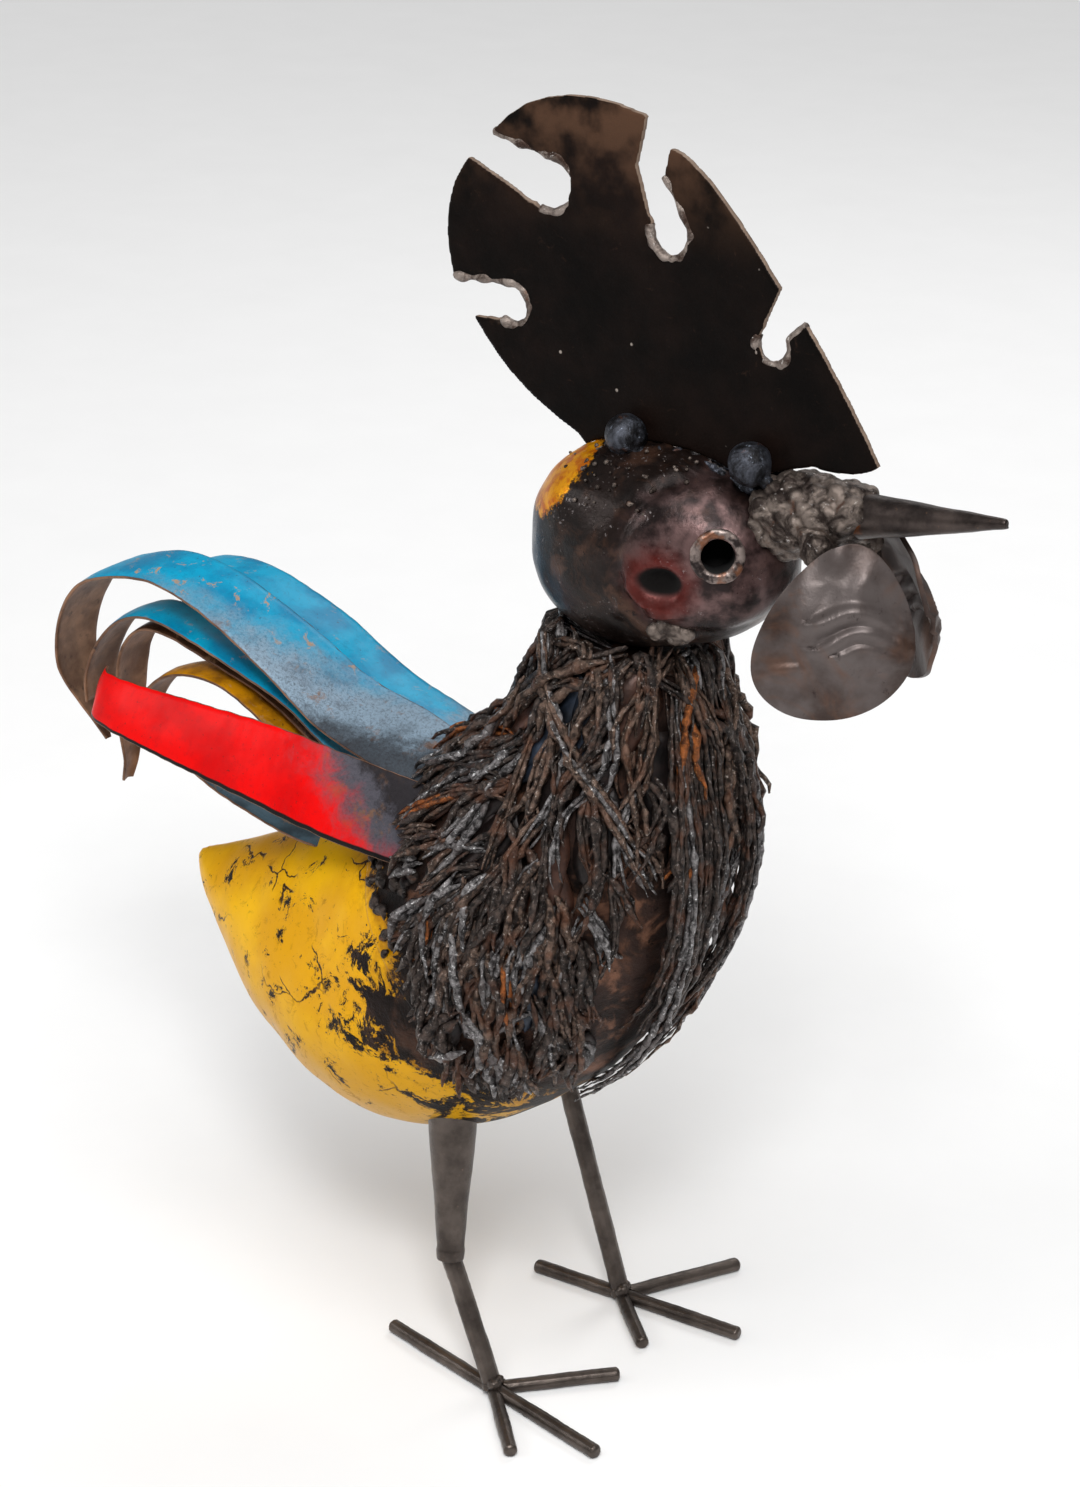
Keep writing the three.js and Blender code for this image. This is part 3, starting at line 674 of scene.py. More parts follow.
spatter = []
for i in range(110):
    side = chance.choice((-1, 1))
    aim = (chance.uniform(0.35, 1.0), side * chance.uniform(0.1, 0.9), chance.uniform(-0.5, 0.3))
    spatter.append((head_point(*aim), chance.uniform(0.4, 1.0)))
for side in (-1, 1):
    for i in range(16):
        aim = (chance.uniform(-0.85, -0.62), side * chance.uniform(0.75, 0.95),
               chance.uniform(0.28, 0.6))
        spatter.append((head_point(*aim, -1), chance.uniform(2, 3.4)))
done(lumps("head_spatter", spatter, 0.45, ((4, 0.6), (1.6, 0.3))), "weld_metal", weld_metal)

# ---- Beak ---------------------------------------------------------------------------------
# A cone rolled from sheet, its seam lapped along the lower side and its tip hammered round, set
# in a rough collar of weld on the face.

BEAK_FROM, BEAK_TO = at(119, 0, 391.5), at(185, 0, 402.5)
COLLAR = [13, 14.6, 13, 10.6, 8.6]  # the collar's radius, from the face to the beak
COLLAR_START, COLLAR_LENGTH, COLLAR_SPOTS = 90, 39, 80


def rod_finish(name, dark, light, tint, spot=None):
    f = Finish(name)
    colour = f.mix(f.step(f.cloud(14, 5, 0.6), 0.3, 0.7), dark, light)
    colour = f.mix(f.step(f.cloud(2.0, 6, 0.7), 0.6, 0.8), colour, tint)
    if spot:
        gap = f.sum("ADD", f.gap(spot), f.sum("MULTIPLY", f.cloud(4, 5), 9.0))
        colour = f.mix(f.step(gap, 12.5, 8.0), colour, WARM_RUST)
    rough = f.level(f.cloud(5, 6), 0.26, 0.42)
    return f.surface(colour, rough, 0.75, f.cloud(2.2, 6, 0.7), 0.2, shine=0.35)


def rolled(name, start, end, profile, seam_turn, seam_step):
    """Sheet rolled about a line. The profile is [share of the length, radius in mm]; the sheet
    laps over itself by seam_step at one turn round the line."""
    way = (end - start).normalized()
    side = way.cross(Vector((0, 0, 1))).normalized()
    up = side.cross(way)

    def place(u, v):
        turn = 2 * math.pi * v
        share, radius, _ = smooth_line([(*knot, 0) for knot in profile], u)
        lap = ((turn - seam_turn) % (2 * math.pi)) / (2 * math.pi)
        radius += seam_step * math.exp(-(lap * 14))
        return start + way * (share * (end - start).length) + (
            side * math.cos(turn) + up * math.sin(turn)) * radius * MM
    piece = laid_sheet(name, 60, 72, place)
    closed(piece)
    return piece


beak = rolled("beak", BEAK_FROM, BEAK_TO,
              [[0, 9], [0.15, 8.1], [0.3, 7.0], [0.48, 5.8], [0.65, 4.5], [0.8, 3.3], [0.92, 2.3],
               [0.985, 1.7], [0.999, 0.9], [1.0, 0.2]], 4.2, 0.8)
dent(beak, (16, 0.35), (4, 0.12))
rod_metal = rod_finish("round bar", shade(64, 57, 53), shade(96, 87, 81), shade(120, 100, 88))
done(beak, "round_bar", rod_finish("rolled beak sheet", shade(30, 25, 24), shade(80, 70, 66),
                                   shade(120, 90, 70), at(125, -8, 392)), "beak_cone")

collar_spots = []
chance = random.Random(31)
for i in range(COLLAR_SPOTS):
    share = (i + 0.5) / COLLAR_SPOTS
    turn = i * 2.4
    x = COLLAR_START + COLLAR_LENGTH * share
    radius = smooth_line([(r, 0, 0) for r in COLLAR], share)[0]
    collar_spots.append((at(x, radius * 0.8 * math.cos(turn),
                            386 + 6.5 * share + radius * 0.8 * math.sin(turn)),
                         chance.uniform(3.6, 5.2)))
collar = lumps("beak_weld", collar_spots, 0.7, ())
work(collar, "SMOOTH", factor=0.5, iterations=5)
dent(collar, (9, 1.6), (4, 1.0), (1.8, 0.35))
done(collar, "weld_metal", weld_metal, "beak_weld_collar")

# ---- Wattles ------------------------------------------------------------------------------
# Two dished ovals of thin sheet, creased by hand, hung from the collar by lumps of weld.

LENGTH, WIDTH, DISH, SHEET = 62, 53, 5, 1.8
SPLAY, LEAN = math.radians(33), math.radians(10)
WATTLE, BLOB = (132, 20, 357), (119, 12, 382)   # the left wattle's middle, and its lump of weld
# Each crease: its line in shares of the half width and half length, its height and its width
CREASES = [([(0.85, 0.06), (0.45, 0.24), (0.1, 0.28), (-0.3, 0.14)], 3.6, 0.075),
           ([(0.85, -0.12), (0.4, 0.04), (0.1, 0.0), (-0.15, -0.16)], 3.2, 0.075),
           ([(0.8, -0.26), (0.35, -0.14), (0.1, -0.22)], 2.2, 0.065),
           ([(0.3, 0.6), (0.0, 0.52), (-0.3, 0.56)], 0.5, 0.1),
           ([(-0.4, -0.38), (-0.66, -0.42), (-0.9, -0.5)], 1.2, 0.05)]
CREASE_STEPS = 40


def wattle_finish():
    f = Finish("creased bare sheet")
    colour = f.mix(f.step(f.cloud(26, 5, 0.55), 0.36, 0.66), shade(56, 43, 38), shade(94, 86, 84))
    colour = f.mix(f.sum("MULTIPLY", f.step(f.cloud(30, 4, 0.6, 1.0), 0.5, 0.7), 0.6), colour,
                   shade(104, 72, 54))
    colour = f.mix(f.step(f.cloud(5, 7, 0.75), 0.58, 0.74), colour, shade(44, 34, 32))
    return f.surface(colour, f.level(f.cloud(9, 6), 0.3, 0.48), 0.5, f.cloud(3, 6, 0.7), 0.15,
                     shine=0.25)


wattle_metal = wattle_finish()
crease_lines = [([smooth_line([(*p, 0) for p in line], k / CREASE_STEPS)
                  for k in range(CREASE_STEPS + 1)], depth, across)
                for line, depth, across in CREASES]
for side, word in ((-1, "right"), (1, "left")):
    turn = Matrix.Rotation(-side * SPLAY, 3, "Z") @ Matrix.Rotation(side * LEAN, 3, "X")

    def place(u, v):
        angle = 2 * math.pi * v
        high, wide = u * math.sin(angle), u * math.cos(angle)
        out = DISH * (1 - u ** 1.8)
        here = Vector((wide, high, 0))
        for line, depth, across in crease_lines:
            near = min(line, key=lambda spot: (spot - here).length_squared)
            share = (near - here).length / (across * (0.8 if high > near.y else 2.2))
            out += depth * math.exp(-share ** 2)
        out += 1.6 * noise.noise(Vector((wide * 2.2, high * 2.2, side)))
        flat = Vector((wide * WIDTH / 2 * (1 - 0.3 * high) + 4.5 * high, side * out,
                       high * LENGTH / 2))
        return at(WATTLE[0], side * WATTLE[1], WATTLE[2]) + turn @ flat * MM
    wattle = laid_sheet(f"wattle_{word}_sheet", 44, 120, place)
    edit(wattle, (bpy.ops.mesh.remove_doubles, {"threshold": 0.02 * MM}),
         (bpy.ops.mesh.normals_make_consistent, {"inside": False}))
    work(wattle, "SOLIDIFY", thickness=SHEET * MM, offset=0.0)
    work(wattle, "BEVEL", width=0.5 * MM, segments=2, limit_method="ANGLE",
         angle_limit=math.radians(50))
    done(wattle, "bare_sheet", wattle_metal, f"wattle_{word}")
    spots = [(at(BLOB[0] + x, side * (BLOB[1] + y), BLOB[2] + z), radius)
             for x, y, z, radius in ((0, 0, 0, 6.5), (5, 1, -3, 5), (-4, -1, 3, 5), (2, 3, 3, 4),
                                     (6, 2, -7, 3))]
    done(lumps(f"wattle_{word}_blob", spots, 0.7, ((5, 1.3), (2, 0.7))), "weld_metal", weld_metal,
         f"wattle_weld_{word}")

# ---- Tail ---------------------------------------------------------------------------------
# Seven strips sheared from painted sheet, bent over by hand, bare on the inner face, welded to
# the back side by side. The weld has burnt the paint off their roots and lies over them in a crust.

# Each strip: its route, the way its width lies at the root and at the tip, and its widths
FEATHERS = {
    "blue_large": [
        [(-34, -13, 250), (-61, -15, 262), (-92, -15, 271), (-115, -15, 284), (-136, -15, 295),
         (-158, -15, 304), (-182, -15, 308), (-205, -15, 303), (-221, -15, 295),
         (-232, -15, 280), (-237, -15, 262), (-235, -15, 247), (-228, -15, 234),
         (-221, -15, 222)], (0, 0.88, 0.47), (0, 1, -0.15), (34, 34, 33, 31, 29, 28, 27, 24, 3)],
    "blue_back": [
        [(-40, 17, 248), (-62, 16, 257), (-85, 16, 264), (-107, 16, 274), (-125, 16, 284),
         (-148, 16, 293), (-170, 16, 298), (-190, 16, 297), (-205, 16, 291)],
        (0, 1, 0), (0, 1, 0), (30, 30, 29, 28, 27)],
    "blue_small": [
        [(-50, -12, 230), (-75, -14, 246), (-95, -15, 258), (-113, -15, 269), (-130, -15, 275),
         (-150, -15, 281), (-170, -15, 286), (-187, -15, 288), (-201, -15, 284),
         (-212, -15, 275), (-220, -15, 263), (-224, -15, 251), (-224, -15, 241)],
        (0, 1, 0.2), (0, 1, 0), (22, 22, 21, 20, 19)],
    "brown": [
        [(-60, -10, 218), (-85, -10, 237), (-105, -10, 252), (-130, -10, 266), (-160, -10, 275),
         (-182, -10, 280), (-197, -10, 278), (-207, -10, 267), (-211, -10, 252),
         (-213, -10, 232), (-213, -10, 215), (-216, -10, 203)],
        (0, 1, 0), (0, 1, 0), (20, 20, 20, 20, 20, 18, 6)],
    "amber": [
        [(-64, -14, 204), (-90, -15, 226), (-108, -15, 243), (-124, -15, 256), (-145, -15, 266),
         (-163, -15, 268), (-178, -15, 264), (-189, -15, 256), (-196, -15, 246),
         (-198, -15, 237)], (0, 1, 0), (0, 1, 0), (20, 20, 20, 19, 17)],
    "red": [
        [(-40, -38, 241), (-58, -40, 243), (-80, -41, 245), (-110, -42, 249), (-140, -42, 251),
         (-170, -42, 253), (-190, -41, 254), (-203, -37, 254), (-210, -29, 254)],
        (0, 0.42, 0.91), (0, 0.5, 0.87), (33, 34, 33, 30, 26, 22, 18)],
    "grey_blue": [
        [(-66, -7, 200), (-95, -8, 206), (-118, -8, 208), (-140, -8, 212), (-162, -8, 218),
         (-182, -8, 226), (-196, -8, 234)], (0, 1, 0), (0, 1, 0), (22, 24, 24, 22, 18)],
}


def bare_strip_finish():
    f = Finish("bare back of the painted sheet")
    colour = f.mix(f.step(f.cloud(14, 5, 0.6), 0.35, 0.7), shade(98, 68, 50), shade(146, 108, 82))
    colour = f.mix(f.step(f.cloud(5, 7, 0.7), 0.56, 0.72), colour, shade(54, 36, 28))
    return f.surface(colour, f.level(f.cloud(6), 0.35, 0.6), 0.45, f.cloud(3, 6, 0.7), 0.2)


def strip_finish(name, paint, deep, burnt_from, burnt_to, stain, steel=shade(132, 152, 168),
                 lower=0.0, rim=1.1):
    """Paint on a strip. It is burnt to steel between two shares of its length, from the root.
    The burn reaches further along the lower edge by `lower` of the length, and the paint is
    black beyond `rim` of the width."""
    f = Finish(name)
    along, across, _ = f.split(f.uv)
    colour = f.mix(f.step(f.cloud(20, 4), 0.4, 0.65), paint, deep)
    colour = f.mix(f.sum("MULTIPLY", f.step(f.cloud(3, 6, 0.75), 0.5, 0.7), 0.3), colour,
                   f.mix(0.5, deep, shade(20, 30, 40)))
    colour = f.mix(f.step(f.cloud(1.6, 4, 0.7), 0.62, 0.74), colour, shade(40, 34, 30))
    wear = f.step(f.cloud(8, 7, 0.72, 0.6), 0.575, 0.64)
    colour = f.mix(f.sum("MULTIPLY", wear, stain), colour, shade(166, 132, 98))
    ragged = f.sum("MULTIPLY_ADD", f.cloud(13, 7, 0.75, 0.4), 0.34, -0.17)
    share = f.sum("ADD", along, ragged)
    share = f.sum("ADD", share, f.sum("MULTIPLY_ADD", across, -lower, lower / 2))
    burnt = f.step(share, burnt_to, burnt_from)
    scale = f.mix(f.sum("MULTIPLY", f.step(f.cloud(1.2, 4, 0.8), 0.4, 0.75), 0.7), steel,
                  shade(52, 54, 60))
    scale = f.mix(f.sum("MULTIPLY", f.step(f.cloud(17, 5, 0.6), 0.5, 0.7), 0.6), scale,
                  shade(74, 72, 78))
    scale = f.mix(f.sum("MULTIPLY", f.step(f.cloud(12, 6, 0.7), 0.54, 0.66), 0.8), scale,
                  shade(124, 92, 70))
    root = f.step(share, burnt_from * 0.9, burnt_from * 0.15)
    scale = f.mix(f.sum("MULTIPLY", root, 0.85), scale, shade(34, 30, 31))
    colour = f.mix(burnt, colour, scale)
    edge = f.sum("MINIMUM", across, f.sum("SUBTRACT", 1.0, across))
    edge = f.step(f.sum("MULTIPLY_ADD", f.cloud(5, 5), 0.05, edge), 0.045, 0.03)
    colour = f.mix(f.sum("MULTIPLY", edge, 0.8), colour, shade(52, 36, 28))
    # Painted shade and burn: past `rim` of the width the paint turns near black, for the red
    # strip's burnt lower lip and the shade under it.
    colour = f.mix(f.step(across, rim, rim + 0.02), colour, shade(12, 9, 9))
    rough = f.level(burnt, f.level(f.cloud(8), 0.3, 0.42), f.level(f.cloud(4), 0.4, 0.65))
    relief = f.sum("MULTIPLY", f.cloud(2.4, 6, 0.75), f.level(burnt, 0.25, 1.0))
    return f.surface(colour, rough, f.sum("MULTIPLY", burnt, 0.5), relief, 0.35, shine=0.14)


blue, deep_blue = shade(0, 146, 184), shade(0, 118, 158)
PAINTS = {
    "blue_large": strip_finish("blue paint large strip", blue, deep_blue, 0.2, 0.5, 0.9,
                               lower=0.3),
    "blue_back": strip_finish("blue paint back strip", blue, deep_blue, 0.06, 0.26, 0.3),
    "blue_small": strip_finish("blue paint small strip", blue, deep_blue, 0.1, 0.3, 0.4),
    "brown": strip_finish("bare brown strip", shade(96, 66, 48), shade(66, 46, 34), 0.1, 0.3, 0.5),
    "amber": strip_finish("amber paint strip", shade(190, 128, 8), shade(96, 56, 12), 0.1, 0.3,
                          0.5, shade(70, 54, 40)),
    # the red strip's rim of 0.93 gives it a black band of painted shade and burn along its lower
    # edge
    "red": strip_finish("red paint strip", shade(222, 0, 0), shade(198, 0, 2), 0.1, 0.3, 0.0,
                        shade(86, 84, 92), lower=-0.24, rim=0.93),
    "grey_blue": strip_finish("grey blue strip", shade(96, 128, 146), shade(60, 76, 86), 0.1, 0.3,
                              0.6),
}
SLOTS = {"brown": "bare_sheet", "amber": "amber_paint", "red": "red_paint"}
bare_back = bare_strip_finish()
STRIP_THICK = 1.2
ROUTE_STEPS = 240
CRUST_SPOTS, REAR_STRIP_SPOTS = 190, 26         # weld over all the roots, and at the rear blue one


def feather(name, route, root_across, tip_across, widths):
    """One strip, bent along its route by even lengths, its edges a little nicked and rippled. The
    length of its name gives each strip a ripple of its own."""
    line = [smooth_line(route, k / ROUTE_STEPS) for k in range(ROUTE_STEPS + 1)]
    run = [0.0]
    for a, b in zip(line, line[1:]):
        run.append(run[-1] + (b - a).length)

    def point_at(share):
        want = min(max(share, 0), 1) * run[-1]
        k = max(i for i in range(ROUTE_STEPS) if run[i] <= want)
        return line[k].lerp(line[k + 1], (want - run[k]) / (run[k + 1] - run[k]))

    def place(u, v):
        here = point_at(u)
        way = (point_at(u + 0.01) - point_at(u - 0.01)).normalized()
        wide = Vector(root_across).lerp(Vector(tip_across), u)
        wide = (wide - way * wide.dot(way)).normalized()
        out = wide.cross(way)
        spot = u * (len(widths) - 1)
        low = min(int(spot), len(widths) - 2)
        half = (widths[low] + (widths[low + 1] - widths[low]) * (spot - low)) / 2
        bow = 1.1 * (1 - (2 * v - 1) ** 2) - 0.5
        ripple = 0.5 * noise.noise(Vector((u * 7, v * 1.5, len(name)))) + 0.2 * noise.noise(
            Vector((u * 40, v * 5, 2)))
        nick = 0.35 * noise.noise(Vector((u * 30, 7, len(name))))
        return at(*(here + wide * (0.5 - v) * 2 * (half + nick) + out * (bow + ripple)))
    piece = laid_sheet(f"tail_{name}", 110, 12, place)
    piece.data.materials.append(PAINTS[name])
    piece.data.materials.append(bare_back)
    work(piece, "SOLIDIFY", thickness=STRIP_THICK * MM, offset=0.0, material_offset=1,
         material_offset_rim=1)
    work(piece, "BEVEL", width=0.25 * MM, segments=1, limit_method="ANGLE",
         angle_limit=math.radians(60))
    done(piece, SLOTS.get(name, "blue_paint"), None, f"tail_feather_{name}")


for name, (route, root_across, tip_across, widths) in FEATHERS.items():
    feather(name, route, root_across, tip_across, widths)

root_spots = []
chance = random.Random(63)
for i in range(CRUST_SPOTS):
    root_spots.append((body_point(chance.uniform(0.545, 0.64), chance.uniform(-1.3, 0.9),
                                  chance.uniform(-0.5, 1.5)), chance.uniform(1.2, 2.6)))
for i in range(REAR_STRIP_SPOTS):
    across = chance.uniform(2, 33)
    root_spots.append((at(chance.uniform(-52, -40), across, 244 - 0.009 * across ** 2),
                       chance.uniform(3, 5.5)))
done(lumps("tail_root_weld", root_spots, 0.9, ((6, 1.8), (2.6, 0.9))), "weld_metal", burnt_weld)

# ---- Legs and feet ------------------------------------------------------------------------
# Round bar, cut, bent cold and welded at the ankles, its ends dressed round. The right thigh is a
# cone rolled from sheet, its seam lapped.

for word, ankle in (("right", at(-1, -43, 4)), ("left", at(2, 43, 4))):
    for stem in ("foot_bar", "leg_rod", "toe_inner", "toe_outer"):
        rod = copy_of(f"{stem}_{word}", f"{stem}_{word}_bar", 0.55)
        dent(rod, (16, 0.3), (2.5, 0.1))
        done(rod, "round_bar", rod_metal, f"{stem}_{word}")
    chance = random.Random(41)
    spots = [(ankle + Vector((chance.uniform(-4, 4), chance.uniform(-4, 4),
                              chance.uniform(-0.5, 4))) * MM, chance.uniform(1.6, 2.8))
             for _ in range(12)]
    done(lumps(f"ankle_weld_{word}", spots, 0.5, ((4, 0.6), (1.5, 0.3))), "weld_metal", rod_metal)

thigh = rolled("thigh_cone", at(-23.7, -41.2, 54.4), at(-32.3, -26.2, 126.4),
               [[0, 4.4], [0.004, 5.5], [0.05, 5.8], [0.1, 5.6], [0.3, 6.8], [0.6, 8.7],
                [0.9, 10.6], [1.0, 10.8]], 3.6, 0.9)
dent(thigh, (18, 0.5), (4, 0.12))
done(thigh, "round_bar", rod_metal, "thigh_cone_right")

# ---- Hackle -------------------------------------------------------------------------------
# The neck's plumage: leaf-shaped cuts of thin sheet, and over them hundreds of torn strips. Each
# strip is three thin strands of rod and weld, laid down the neck in crossing lines, and looser
# wires stand off the breast and nape.

STRANDS = ("dark", "brown", "silver", "orange")
PLATES = ("dark", "brown", "blued")
STEP = 2.6                          # from one joint of a strip to the next
NECK_STRIPS, FLANK_STRIPS, BACK_PIECES = 44, 170, 70
THROAT_WIRES, NAPE_STRIPS, NAPE_BLADES = 13, 9, 34
# Each row of leaves: the share of the spine where it starts, and how many it has
ROWS = [(0.985, 13), (0.94, 13), (0.89, 13), (0.84, 13), (0.79, 14), (0.74, 14), (0.69, 14),
        (0.645, 17), (0.605, 18), (0.575, 18), (0.55, 16), (0.525, 14)]


def plate_finish(name, dark, light, tint):
    f = Finish(name)
    colour = f.mix(f.step(f.cloud(11, 5, 0.6), 0.35, 0.7), dark, light)
    colour = f.mix(f.step(f.cloud(4, 6, 0.7), 0.58, 0.74), colour, tint)
    return f.surface(colour, f.level(f.cloud(6), 0.25, 0.5), 0.5, f.cloud(3, 6, 0.7), 0.25)


plate_metals = [
    plate_finish("hackle plate dark", shade(16, 12, 12), shade(44, 34, 32), shade(64, 44, 34)),
    plate_finish("hackle plate brown", shade(40, 24, 18), shade(84, 54, 42), shade(112, 74, 52)),
    plate_finish("hackle plate blued", shade(20, 23, 29), shade(58, 68, 84), shade(50, 40, 36)),
]


def strand_finish(name, dark, light, glint, rust):
    f = Finish(name)
    colour = f.mix(f.step(f.cloud(3.0, 6, 0.7, 0.6), 0.38, 0.66), dark, light)
    colour = f.mix(f.step(f.cloud(1.3, 5, 0.7), 0.58, 0.68), colour, glint)
    colour = f.mix(f.step(f.cloud(12, 4), 0.5, 0.64), colour, f.mix(f.cloud(2), colour, rust))
    rough = f.level(f.cloud(1.6, 5), 0.18, 0.5)
    relief = f.sum("ADD", f.cloud(1.0, 6, 0.75), f.sum("MULTIPLY", f.cloud(2.6, 4), 1.4))
    return f.surface(colour, rough, 0.7, relief, 0.55)


strand_metals = [
    strand_finish("bead dark", shade(20, 15, 13), shade(84, 72, 66), shade(178, 170, 166), RUST),
    strand_finish("bead brown", shade(34, 24, 19), shade(122, 100, 87), shade(196, 182, 172), RUST),
    strand_finish("bead silver", shade(32, 28, 28), shade(150, 146, 146), shade(250, 250, 250),
                  SCORCHED),
    strand_finish("bead orange", shade(70, 38, 20), shade(172, 98, 46), shade(206, 146, 92),
                  WARM_RUST),
]

chance = random.Random(77)


def straight(share):
    """No lean and no lift."""
    return 0


def arched(ends, rise):
    """A lift off the skin, in mm, that rises from both ends of a strip to its middle."""
    return lambda share: ends + rise * math.sin(math.pi * share)


def walk(share, turn, lean, length, lift, pull, wander=0.0):
    """Steps over the body's skin, from a place on it, the way that pull points. Gives each place
    and the skin's normal there. lean turns the way sideways, in radians, and lift is the height
    off the skin in mm, each at a share of the length. wander is how unsteady the hand is."""
    places = []
    drift = chance.uniform(-1, 1)
    for i in range(max(int(length / STEP), 3)):
        along = i * STEP / length
        here = body_point(share, turn)
        by_share = (body_point(share + 0.004, turn) - here) / 0.004
        by_turn = (body_point(share, turn + 0.02) - here) / 0.02
        normal = by_turn.cross(by_share).normalized()
        x, z, *_ = smooth_line(BODY, share)
        if normal.dot(here - at(x, 0, z)) < 0:
            normal.negate()
        want = Vector(pull) - normal * Vector(pull).dot(normal)
        want.normalize()
        drift = 0.8 * drift + chance.uniform(-wander, wander)
        want = Matrix.Rotation(lean(along) + drift, 3, normal) @ want
        places.append((here + normal * lift(along) * MM, normal))
        a, b, c = by_share.dot(by_share), by_share.dot(by_turn), by_turn.dot(by_turn)
        p, q = want.dot(by_share) * STEP * MM, want.dot(by_turn) * STEP * MM
        det = a * c - b * b
        if abs(det) < 1e-12:
            break
        share += (c * p - b * q) / det
        turn += (a * q - b * p) / det
        if not 0.3 < share < 1.02:
            break
    return places


def bare(place):
    """Where the hackle leaves the sheet open: the rump behind its hem, low on the belly, and a
    smooth patch on each side of the breast."""
    x, y, z = (place.x - ankles.x) / MM, abs(place.y - ankles.y) / MM, place.z / MM
    patch = ((x - 52) / 30) ** 2 + ((y - 20) / 20) ** 2 + ((z - 204) / 52) ** 2
    return patch < 1 or x < -38 + 0.4 * (221 - z) or (x < 30 and z < 146)


runs = [[] for _ in STRANDS]


def add_run(places, radius, kind):
    """Three thin strands twisted loosely together along the places, frayed at their ends."""
    if len(places) < 4:
        return
    last = len(places) - 1
    start, twist = chance.uniform(0, 6), chance.uniform(-0.08, 0.08)
    for strand in range(3):
        run, loose = [], chance.uniform(0.5, 1.3)
        for i, (place, normal) in enumerate(places):
            thin = min(1, 0.4 + 3 * i / last, 0.3 + 2.4 * (last - i) / last)
            way = (places[min(i + 1, last)][0] - places[max(i - 1, 0)][0]).normalized()
            turn = start + 2.1 * strand + twist * i
            spread = radius * loose * (0.8 + 0.9 * (i / last) ** 3) * (
                1 + 0.9 * noise.noise(place / (9 * MM) + Vector((0, 0, 3 * strand))))
            off = way.cross(normal) * math.cos(turn) + normal * math.sin(turn)
            run.append((place + off * spread * MM, radius * thin * chance.uniform(0.4, 0.7)))
        runs[kind].append(run)


plates = [[] for _ in PLATES]


def leaf(share, turn, length, width, pull, kind):
    """A cut leaf of sheet, laid down the skin under the strips."""
    spine = walk(share, turn, straight, length, lambda s: 1.0 + 2.2 * s, pull)
    if len(spine) < 5 or bare(spine[-1][0]):
        return
    places = [p for p, _ in spine]
    normals = [n for _, n in spine]

    def place(u, v):
        spot = u * (len(places) - 1)
        i = min(int(spot), len(places) - 2)
        here = places[i].lerp(places[i + 1], spot - i)
        normal = normals[i].lerp(normals[i + 1], spot - i).normalized()
        across = (places[i + 1] - places[i]).cross(normal).normalized()
        half = width / 2 * max(math.sin(math.pi * min(0.12 + 0.88 * u, 1)) ** 0.7, 0.02)
        half *= 1 + 0.5 * noise.noise(Vector((u * 3, round(v), share * 50)))
        fold = 1.6 * noise.noise(here / (7 * MM)) - 1.4 * abs(2 * v - 1) ** 1.3
        return here + (across * (2 * v - 1) * half + normal * fold) * MM
    piece = laid_sheet("leaf", 8, 4, place)
    work(piece, "SOLIDIFY", thickness=1.0 * MM, offset=0.0)
    plates[kind].append(piece)


def kind_of_strip():
    """Dark, brown, silver or, now and then, orange."""
    return chance.choices((0, 1, 2, 3), (47, 30, 21, 2))[0]


def lay_strip(places, radius, kind, rise=0):
    """Lays a strip, cut short where the sheet is left open. rise is the count of steps that it is
    carried up past its start, to close the neck under the head."""
    cutoff = next((i for i, (p, _) in enumerate(places) if bare(p)), len(places))
    places = places[:cutoff]
    if rise and len(places) > 3:
        way = (places[0][0] - places[2][0]).normalized()
        places = [(places[0][0] + way * STEP * MM * k, places[0][1])
                  for k in range(rise, 0, -1)] + places
    add_run(places, radius, kind)


for row, (share, count) in enumerate(ROWS):
    for k in range(count):
        turn = 2 * math.pi * (k + 0.5 * (row % 2)) / count + chance.uniform(-0.12, 0.12)
        top = share + chance.uniform(-0.018, 0.018)
        facing = math.cos(turn)     # 1 on the back line, -1 on the belly
        # the tail's root covers the back of the low rows, and the belly under them stays bare
        if (row >= 6 and facing > 0.5) or (row >= 8 and facing < -0.85) or (
                row >= 10 and facing > 0.1):
            continue
        back = max(0, facing)
        pull = (-1.1 * back - 0.1, 0, -1)
        length = chance.uniform(42, 74) * (0.7 if row >= 7 else 1)
        start = body_point(top, turn)
        if bare(start):
            continue
        rise = 5 if row == 0 else 0
        leaf(top, turn, chance.uniform(32, 48), chance.uniform(11, 19), pull,
             chance.choices((0, 1, 2), (62, 28, 10))[0])
        for edge in (-1, 1):
            if chance.random() < 0.2:
                continue
            spread = edge * chance.uniform(0.3, 0.6)
            places = walk(top, turn, lambda s: spread * math.cos(math.pi * min(s * 1.05, 1)),
                          length * chance.uniform(0.75, 1.0), arched(2.4, 2.6), pull, 0.1)
            lay_strip(places, chance.choice((1.6, 2.3, 2.8, 3.6)), kind_of_strip(), rise)
        if chance.random() < 0.6:
            lean_by = chance.uniform(-0.5, 0.5)
            places = walk(top - 0.01, turn + chance.uniform(-0.15, 0.15), lambda s: lean_by,
                          length * chance.uniform(0.4, 0.9), arched(3.8, 1.6), pull, 0.1)
            lay_strip(places, chance.uniform(1.5, 2.5), kind_of_strip(), rise)

# short strips that close the neck under the head, and one heavy strip down over the flank
for k in range(NECK_STRIPS):
    turn = 2 * math.pi * k / NECK_STRIPS + chance.uniform(-0.05, 0.05)
    places = walk(1.0, turn, straight, chance.uniform(24, 46), arched(2, 2.5), (0, 0, -1), 0.05)
    lay_strip(places, chance.uniform(1.6, 2.4), kind_of_strip(), 4)
places = walk(0.985, 1.7 * math.pi, straight, 96, lambda s: 6 - 1.5 * s, (0.75, 0, -1), 0.02)
for kind, radius in ((1, 2.8), (2, 2.2)):
    lay_strip(places, radius, kind, 3)

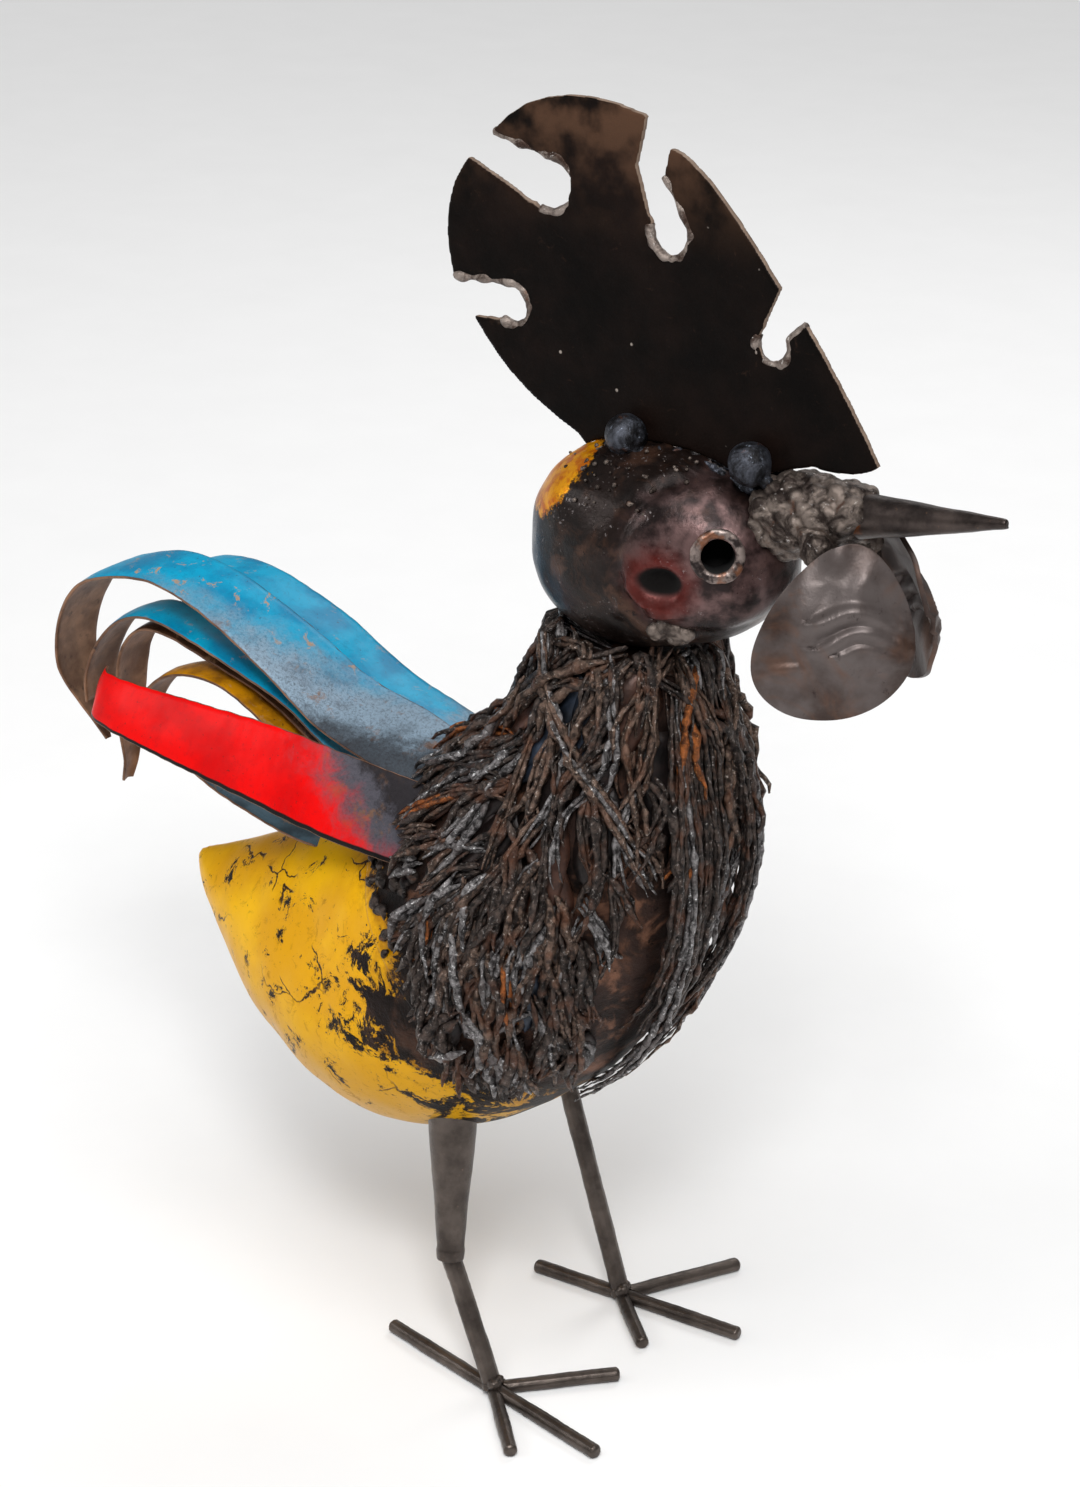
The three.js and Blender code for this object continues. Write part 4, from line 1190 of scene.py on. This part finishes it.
# short torn strips that fill the flanks
for k in range(FLANK_STRIPS):
    turn = BELLY + chance.choice((-1, 1)) * chance.uniform(0.25, 0.85) * 0.5 * math.pi * 1.35
    lean_by = chance.uniform(-0.6, 0.6)
    places = walk(chance.uniform(0.52, 0.76), turn, lambda s: lean_by * (1 - s),
                  chance.uniform(20, 48), arched(2.0, 2.8), (-0.1, 0, -1), 0.12)
    lay_strip(places, chance.uniform(1.8, 3.4), kind_of_strip())

# loose wires down the throat and breast, standing off them, and close strips down the nape
for k in range(THROAT_WIRES):
    turn = BELLY + (k - THROAT_WIRES // 2) * 0.085
    stand = chance.uniform(4, 9)
    places = walk(0.99 - chance.uniform(0, 0.03), turn, straight, chance.uniform(150, 215),
                  lambda s: 2.5 + stand * math.sin(math.pi * min(s * 1.02, 1)), (0, 0, -1), 0.02)
    add_run(places, chance.uniform(1.5, 2.1), chance.choices((0, 1, 2), (60, 20, 20))[0])
for k in range(NAPE_STRIPS):
    turn = (k - NAPE_STRIPS // 2) * 0.16
    places = walk(1.0, turn, straight, chance.uniform(60, 90), arched(2.5, 5), (-0.5, 0, -1), 0.03)
    lay_strip(places, chance.uniform(1.5, 2.2), 0, 5)

# short pieces between the flank and the tail's root, and a crossed pair of stubs on the belly
for k in range(BACK_PIECES):
    turn = chance.choice((-1, 1)) * chance.uniform(0.35, 1.5)
    places = walk(chance.uniform(0.6, 0.76), turn, straight, chance.uniform(18, 40),
                  arched(2.0, 2.5), (-1.0, 0, -0.9), 0.14)
    lay_strip(places, chance.uniform(1.7, 3.2), chance.choices((0, 1, 2), (40, 25, 35))[0])
stub = [(at(-14 + 11 * k / 6, -50 + 9 * k / 6, 170 - 22 * k / 6), Vector((0, -0.8, -0.6)))
        for k in range(7)]
cross = [(at(-15 + 16 * k / 6, -55.5 + 4 * k / 6, 165 + 8 * k / 6), Vector((0, -0.9, -0.4)))
         for k in range(7)]
for run in (stub, cross):
    add_run([(place + normal * 6 * MM, normal) for place, normal in run], 3.6, 2)

# rusted blades that flow from the nape over the tail's root
for k in range(NAPE_BLADES):
    turn = chance.uniform(-1.25, 1.25)
    places = walk(chance.uniform(0.78, 0.9), turn, straight, chance.uniform(40, 74),
                  arched(2, 4.5), (-1.4, 0, -0.5), 0.05)
    lay_strip(places, chance.uniform(1.5, 2.4), chance.choices((0, 1, 3), (25, 30, 45))[0])

nodes = sorted(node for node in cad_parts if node.startswith("hackle_feather_"))
for kind, group in enumerate(runs):
    piece = bead_line(f"hackle_strands_{STRANDS[kind]}", group, 90 + kind, 0.2, 1)
    dent(piece, (5.0, 0.5), (1.8, 0.5))
    done(piece, "hackle_steel", strand_metals[kind])
for kind, leaves in enumerate(plates):
    pick(*leaves)
    bpy.ops.object.join()
    piece = bpy.context.object
    piece.name = piece.data.name = f"hackle_plates_{PLATES[kind]}"
    done(piece, "hackle_steel", plate_metals[kind], *(nodes if kind == 0 else ()))

# ---- Studio -------------------------------------------------------------------------------
# A pale floor and four soft lights: one ahead of the bird's right shoulder, a fill behind it, a
# rim light from the left, and a broad one overhead.

floor = made("floor", bpy.ops.mesh.primitive_plane_add, size=14, location=(0, 0, 0))
paper = Finish("pale paper")
floor.data.materials.append(paper.surface(
    paper.mix(paper.cloud(60, 3), (0.86, 0.86, 0.86, 1), (0.9, 0.9, 0.9, 1)), 0.8, 0.0))

world = bpy.data.worlds.new("studio")
world.use_nodes = True
world.node_tree.nodes["Background"].inputs[0].default_value = (1, 1, 1, 1)
world.node_tree.nodes["Background"].inputs[1].default_value = 0.24
bpy.context.scene.world = world
# Each lamp: its name, its place and its width in metres, and its power in watts
LAMPS = (("key", (0.8, -1.1, 1.6), 0.45, 18), ("fill", (-1.3, -1.1, 1.1), 0.6, 6),
         ("rim", (-0.3, 1.4, 1.5), 0.7, 8))
for name, place, size, power in LAMPS:
    lamp = bpy.data.lights.new(name, "AREA")
    lamp.size = size
    lamp.energy = power
    light = bpy.data.objects.new(name, lamp)
    light.location = place
    light.rotation_euler = (Vector((0, 0, 0.3)) - Vector(place)).to_track_quat("-Z", "Y").to_euler()
    bpy.context.collection.objects.link(light)
sky = bpy.data.objects.new("overhead", bpy.data.lights.new("overhead", "SUN"))
sky.data.energy = 1.65
sky.data.angle = math.radians(50)
sky.rotation_euler = Vector((-0.25, 0.35, -1)).to_track_quat("-Z", "Y").to_euler()
bpy.context.collection.objects.link(sky)

camera = bpy.data.objects.new("camera", bpy.data.cameras.new("camera"))
bpy.context.collection.objects.link(camera)
camera.data.lens = 82.3
camera.data.sensor_width = 36
camera.location = at(686.7, -957.4, 804.6)
camera.rotation_euler = (at(-6, -4, 272.5) - camera.location).to_track_quat("-Z", "Y").to_euler()
bpy.context.scene.camera = camera
bpy.context.scene.view_settings.view_transform = "Standard"
